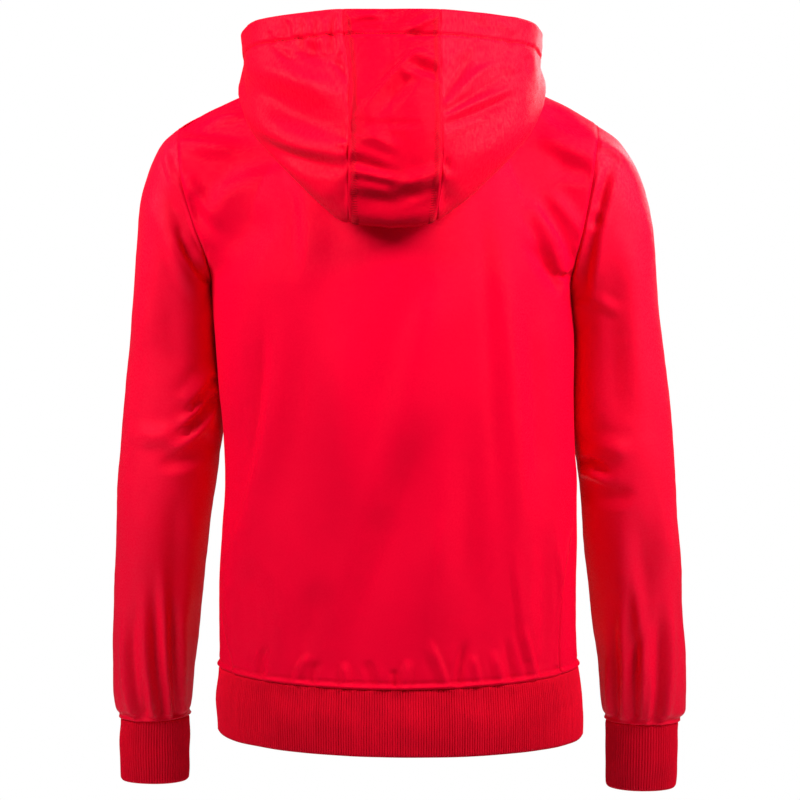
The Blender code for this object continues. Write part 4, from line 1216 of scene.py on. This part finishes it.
# ---------------------------------------------------------------- builders
def make_body(settings, colours):
    """The back and front: their grids, creases, seam dips and the roll over the hem seam."""
    material = jersey_material("body", colours)
    depth, roll = settings.seam_depth / MM, settings.hem_roll / MM
    made = []
    for face, counts, side, creases in (
        ("back", BACK_GRID, 1, BACK_CREASES),
        ("front", FRONT_GRID, -1, FRONT_CREASES),
    ):
        grid = relax(body_panel(face, *counts), BODY_PASSES)
        normals = grid_normals(grid, False, 1)
        hem, neck, left, right = edge_lengths(grid)
        move = dressed(grid, normals, creases, side) * settings.crease_share
        move += ripples(grid, face)
        move *= ease(np.minimum(left, right) / 5.0) * ease(hem / 2.0)
        move *= ease((np.linalg.norm(grid, axis=-1) - PLAIN_UNDER_HOOD) / PLAIN_FADE)
        move += seam_groove(left, depth) + seam_groove(right, depth) + seam_groove(neck, depth)
        move += rib_seam_roll(hem, roll)
        outer = grid + normals * move[..., None]
        made.append(cloth_object(face + "_cloth", outer, normals, settings.wall / MM, False, 1, material))
    return made


def make_sleeve(hand, settings, material):
    """One sleeve: its tube, creases front and back, armhole dip and the roll over the cuff seam."""
    name = "sleeve_left" if hand > 0 else "sleeve_right"
    creases = SLEEVE_LEFT_CREASES if hand > 0 else SLEEVE_RIGHT_CREASES
    grid = relax(sleeve_tube(hand, *SLEEVE_GRID), SLEEVE_PASSES, closed=True)
    normals = grid_normals(grid, True, hand)
    top, cuff_seam = edge_lengths(grid)[:2]
    move = dressed(grid, normals, creases, 1)
    move += dressed(grid + HIDDEN_CREASE_SHIFT, normals, creases, -1) * HIDDEN_CREASE_SHARE
    move = move * settings.crease_share * ease(cuff_seam / 2.5) * ease(top / 4.0)
    move += ripples(grid, name) * ease(top / 12.0)
    move += seam_groove(top, settings.seam_depth / MM, 1.8)
    move += rib_seam_roll(cuff_seam, settings.hem_roll / MM * 0.9)
    # The underarm's cloth swells forward and in, so that no gap shows beside the body.
    off = grid[..., 1:] - UNDERARM_MIDDLE
    swell = bell(off[..., 0], UNDERARM_REACH[0]) * bell(off[..., 1], UNDERARM_REACH[1])
    move += settings.underarm_swell / MM * swell * (np.abs(grid[..., 0]) < UNDERARM_SIDE)
    outer = grid + normals * move[..., None]
    wall = settings.wall / MM
    return cloth_object(name + "_cloth", outer, normals, wall, True, hand, material, SLEEVE_INNER_ROWS)


def make_ribbed(name, grid, ribs, turn, settings, material):
    """A ribbed tube: ribs up the outside, plain inside, both ends rounded."""
    normals = grid_normals(grid, True, turn)
    normals[..., 2] *= 0.3
    normals = unit(normals)
    seam, end = edge_lengths(grid)[:2]
    profile = rib_profile(grid.shape[1], settings.rib_height / MM)
    source = np.random.default_rng(21)
    uneven = 1 + RIB_UNEVENNESS * np.repeat(source.uniform(-1, 1, ribs), COLUMNS_PER_RIB)
    move = profile * uneven * ease(seam / 1.6 + 0.25) * ease(end / 2.5 + 0.2)
    move += ripples(grid, "hem_band" if name == "hem_band" else "cuff") * ease(seam / 8.0)
    move += seam_groove(seam, 0.9, 1.4) - RIB_EDGE_ROLL * bell(end, 1.4)
    outer = grid + normals * move[..., None]
    base = grid + normals * (move - profile)[..., None]
    keep = [0, len(grid) // 2, len(grid) - 1]
    inner = (base - normals * settings.wall / MM)[keep]
    return wall_object(name + "_rib", outer, inner, True, turn, material)


def hood_grids(settings, sewing):
    """Outer grid, normals and lengths from each border of the three hood panels."""
    grids = hood_panels(HOOD_ROWS, HOOD_SIDE_COLUMNS, HOOD_CENTRE_COLUMNS)
    depth = settings.seam_depth / MM
    hem = sewing.hem_depth / MM
    found = {}
    for name, grid in zip(("left", "centre", "right"), grids):
        grid = relax(grid, HOOD_PASSES)
        normals = grid_normals(grid, False, 1)
        neck, rim, first, last = edge_lengths(grid)
        crown = ease((neck - HOOD_STAND_DEPTH) / HOOD_STAND_FADE)
        move = dressed(grid, normals, HOOD_CREASES + HOOD_HEM_CREASES, 1)
        move = move * settings.crease_share * crown * ease(rim / 3.0)
        move += ripples(grid, "hood") * crown
        if name != "left":
            move *= ease(first / 4.0)
            move += seam_groove(first, depth)
        if name != "right":
            move *= ease(last / 4.0)
            move += seam_groove(last, depth)
        move += seam_groove(neck, depth)
        # The turned hem: a little proud of the crown, pulled in along its stitch row, more at each stitch.
        pull = 1.5 + 0.6 * np.cos((grid[..., 0] + grid[..., 1]) * 2 * math.pi * MM / sewing.stitch_pitch)
        move += 0.9 * ease((hem + 1.0 - rim) / 3.0) - pull * bell(rim - hem, 1.5) - 0.9 * bell(rim, 1.0)
        found[name] = (grid + normals * move[..., None], normals, rim, first, last)
    return found


def make_hood(settings, sewing, colours):
    """The three hood panels, thicker where the hem is turned in."""
    side = jersey_material("hood", colours)
    # The centre panel's jersey takes the darker colour that is painted shade.
    centre = jersey_material("hood_centre", colours)
    made = []
    hem = sewing.hem_depth / MM
    for name, (outer, normals, rim, _, _) in hood_grids(settings, sewing).items():
        wall = settings.wall / MM * (1 + ease((hem + 1.0 - rim) / 2.0))
        material = centre if name == "centre" else side
        made.append(cloth_object(f"hood_{name}_cloth", outer, normals, wall, False, 1, material))
    return made


def row_at(outer, normals, lengths, target):
    """The line across a grid where a length from its border has the target value."""
    row = np.abs(lengths - target).argmin(axis=0)
    column = np.arange(outer.shape[1])
    return outer[row, column], normals[row, column]


def column_at(outer, normals, lengths, target):
    """The line up a grid where a length from its side border has the target value."""
    column = np.abs(lengths - target).argmin(axis=1)
    row = np.arange(outer.shape[0])
    return outer[row, column], normals[row, column]


def make_sewing(settings, sewing, colours):
    """The hood's hem stitch row and the cover stitches beside its two panel seams."""
    material = thread_material(colours)
    panels = hood_grids(settings, sewing)
    hem, pitch = sewing.hem_depth / MM, sewing.stitch_pitch / MM
    made = []
    for name, (outer, normals, rim, _, _) in panels.items():
        middles, ways, ups = along_line(*row_at(outer, normals, rim, hem), pitch)
        middles = middles + ups * HEM_STITCH_LIFT
        points, faces = stitch_arrays(middles, ways, ups, pitch * HEM_STITCH_SHARE, HEM_STITCH_RADIUS)
        made.append(mesh_object(f"hood_{name}_hem_stitches", points, faces, None, material))
    outer, normals, _, first, last = panels["centre"]
    shown = slice(HOOD_ROWS[0] + HOOD_ROWS[1], None)
    for name, lengths in (("left", first), ("right", last)):
        lines = [column_at(outer, normals, lengths, at) for at in COVER_STITCH_LINES]
        spaced = [along_line(line[shown], ups[shown], sewing.rung_pitch / MM) for line, ups in lines]
        count = min(len(places) for places, _, _ in spaced)
        near, middles, far = (places[:count] for places, _, _ in spaced)
        ups = spaced[1][2][:count]
        middles = middles + ups * COVER_STITCH_LIFT
        ways = unit(far - near)
        points, faces = stitch_arrays(middles, ways, ups, COVER_STITCH_LENGTH, COVER_STITCH_RADIUS)
        made.append(mesh_object(f"hood_cover_stitches_{name}", points, faces, None, material))
    return made


def ready(piece, node):
    """The piece rides on the garment; it stands for its node if one is given."""
    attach(piece, "root")
    if node:
        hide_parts(node)


# ---------------------------------------------------------------- operators
class PULLOVER_OT_body(bpy.types.Operator):
    """Make the back and front panels"""

    bl_idname = "pullover.body"
    bl_label = "Body panels"

    def execute(self, context):
        scene = context.scene
        back, front = make_body(scene.pullover_cloth, scene.pullover_colours)
        ready(back, "back")
        ready(front, "front")
        return {"FINISHED"}


class PULLOVER_OT_sleeves(bpy.types.Operator):
    """Make both sleeves"""

    bl_idname = "pullover.sleeves"
    bl_label = "Sleeves"

    def execute(self, context):
        scene = context.scene
        # The sleeves' jersey takes the lighter colour that is painted light.
        material = jersey_material("sleeve", scene.pullover_colours)
        for hand, node in ((1, "sleeve_left"), (-1, "sleeve_right")):
            made = make_sleeve(hand, scene.pullover_cloth, material)
            ready(made, node)
        return {"FINISHED"}


class PULLOVER_OT_hood(bpy.types.Operator):
    """Make the three panels of the hood"""

    bl_idname = "pullover.hood"
    bl_label = "Hood"

    def execute(self, context):
        scene = context.scene
        panels = make_hood(scene.pullover_cloth, scene.pullover_sewing, scene.pullover_colours)
        left, centre, right = panels
        for made, node in ((left, "hood_left"), (centre, "hood_centre"), (right, "hood_right")):
            ready(made, node)
        return {"FINISHED"}


class PULLOVER_OT_ribs(bpy.types.Operator):
    """Make the hem band and both cuffs"""

    bl_idname = "pullover.ribs"
    bl_label = "Ribs"

    def execute(self, context):
        ribs = context.scene.pullover_ribs
        material = rib_material(context.scene.pullover_colours)
        grid = band_tube(BAND_ROWS, ribs.band_ribs * COLUMNS_PER_RIB)
        band = make_ribbed("hem_band", grid, ribs.band_ribs, -1, ribs, material)
        ready(band, "hem_band")
        for hand, side in ((1, "left"), (-1, "right")):
            grid = cuff_tube(hand, CUFF_ROWS, ribs.cuff_ribs * COLUMNS_PER_RIB)
            cuff = make_ribbed(f"cuff_{side}", grid, ribs.cuff_ribs, hand, ribs, material)
            ready(cuff, f"cuff_{side}")
        return {"FINISHED"}


class PULLOVER_OT_sewing(bpy.types.Operator):
    """Sew the hood's hem row and the cover stitches beside its panel seams"""

    bl_idname = "pullover.sewing"
    bl_label = "Sewing"

    def execute(self, context):
        scene = context.scene
        for made in make_sewing(scene.pullover_cloth, scene.pullover_sewing, scene.pullover_colours):
            ready(made, None)
        return {"FINISHED"}


def area_light(name, place, target, size, power, spread=math.pi):
    """A square white soft light at a place, aimed at a target, its beam as wide as the spread."""
    data = bpy.data.lights.new(name, "AREA")
    data.shape = "SQUARE"
    data.size = size
    data.energy = power
    data.spread = spread
    made = bpy.data.objects.new(name, data)
    made.location = place
    made.rotation_euler = (Vector(target) - Vector(place)).to_track_quat("-Z", "Y").to_euler()
    bpy.context.scene.collection.objects.link(made)


class PULLOVER_OT_stage(bpy.types.Operator):
    """Set up the pale floor, the soft lights and the camera"""

    bl_idname = "pullover.stage"
    bl_label = "Stage"

    def execute(self, context):
        scene = context.scene
        stage = scene.pullover_stage
        reach = np.array(FLOOR_RINGS)[:, None]
        turn = np.linspace(0, 2 * math.pi, FLOOR_SIDES + 1)[:-1]
        height = np.full((len(reach), FLOOR_SIDES), stage.floor_height)
        rings = np.stack([reach * np.cos(turn), reach * np.sin(turn), height], axis=-1)
        corners = cell_corners(len(reach), FLOOR_SIDES, True)[0][:, ::-1]
        mesh_object("studio_floor", rings.reshape(-1, 3) / MM, corners, None, studio_material())

        area_light("left_softbox", (1.2, 0.8, 0.7), NECK_TARGET, 0.7, stage.softbox_power, stage.beam)
        area_light("right_softbox", (-1.2, 0.8, 0.8), NECK_TARGET, 0.7, stage.softbox_power * 1.1, stage.beam)
        area_light("right_edge_light", (-1.5, 0.25, 0.35), NECK_TARGET, 0.8, stage.edge_power, stage.beam)
        area_light("left_fill", (1.15, 1.0, -0.75), (0.28, -0.04, -0.58), 0.4, stage.fill_power, 0.6)
        area_light("right_fill", (-1.15, 1.0, -0.75), (-0.29, -0.04, -0.58), 0.4, stage.fill_power, 0.6)
        area_light("front_light", (-0.9, -2.2, 0.5), CHEST_TARGET, 1.2, stage.front_power)

        world = bpy.data.worlds.new("studio_air")
        world.use_nodes = True
        world.node_tree.nodes.clear()
        add = node_maker(world)
        seen = add("ShaderNodeLightPath")
        strength = ranged(add, seen.outputs["Is Camera Ray"], 0.0, 1.0, stage.ambient, 1.0)
        air = add("ShaderNodeBackground", {"Color": (1.0, 1.0, 1.0, 1.0), "Strength": strength})
        add("ShaderNodeOutputWorld", {"Surface": air.outputs["Background"]})
        scene.world = world
        scene.view_settings.view_transform = "Standard"

        data = bpy.data.cameras.new("camera")
        data.lens = stage.lens
        data.sensor_width = SENSOR_WIDTH
        data.sensor_fit = "HORIZONTAL"
        camera = bpy.data.objects.new("camera", data)
        camera.location = (CAMERA_SIDE, stage.camera_distance, CAMERA_HEIGHT)
        aim = Vector((CAMERA_SIDE, 0.0, AIM_HEIGHT))
        camera.rotation_euler = (aim - camera.location).to_track_quat("-Z", "Y").to_euler()
        scene.collection.objects.link(camera)
        scene.camera = camera
        return {"FINISHED"}


class PULLOVER_PT_panel(bpy.types.Panel):
    """The pullover's steps and sizes"""

    bl_idname = "PULLOVER_PT_panel"
    bl_label = "Hooded pullover"
    bl_space_type = "VIEW_3D"
    bl_region_type = "UI"
    bl_category = "Pullover"

    def draw(self, context):
        for operator, group in STEPS:
            box = self.layout.box()
            box.operator(operator.bl_idname)
            settings = getattr(context.scene, group)
            for name in settings.__annotations__:
                box.prop(settings, name)


STEPS = (
    (PULLOVER_OT_body, "pullover_cloth"),
    (PULLOVER_OT_sleeves, "pullover_cloth"),
    (PULLOVER_OT_hood, "pullover_sewing"),
    (PULLOVER_OT_ribs, "pullover_ribs"),
    (PULLOVER_OT_sewing, "pullover_colours"),
    (PULLOVER_OT_stage, "pullover_stage"),
)
GROUPS = (
    ("pullover_cloth", PulloverClothSettings),
    ("pullover_ribs", PulloverRibSettings),
    ("pullover_sewing", PulloverSewingSettings),
    ("pullover_colours", PulloverColourSettings),
    ("pullover_stage", PulloverStageSettings),
)


def register():
    for name, group in GROUPS:
        bpy.utils.register_class(group)
        setattr(bpy.types.Scene, name, PointerProperty(type=group))
    for operator, _ in STEPS:
        bpy.utils.register_class(operator)
    bpy.utils.register_class(PULLOVER_PT_panel)


def unregister():
    bpy.utils.unregister_class(PULLOVER_PT_panel)
    for operator, _ in reversed(STEPS):
        bpy.utils.unregister_class(operator)
    for name, group in reversed(GROUPS):
        delattr(bpy.types.Scene, name)
        bpy.utils.unregister_class(group)


def main():
    register()
    bpy.ops.pullover.body()
    bpy.ops.pullover.sleeves()
    bpy.ops.pullover.hood()
    bpy.ops.pullover.ribs()
    bpy.ops.pullover.sewing()
    bpy.ops.pullover.stage()


if __name__ == "__main__":
    main()
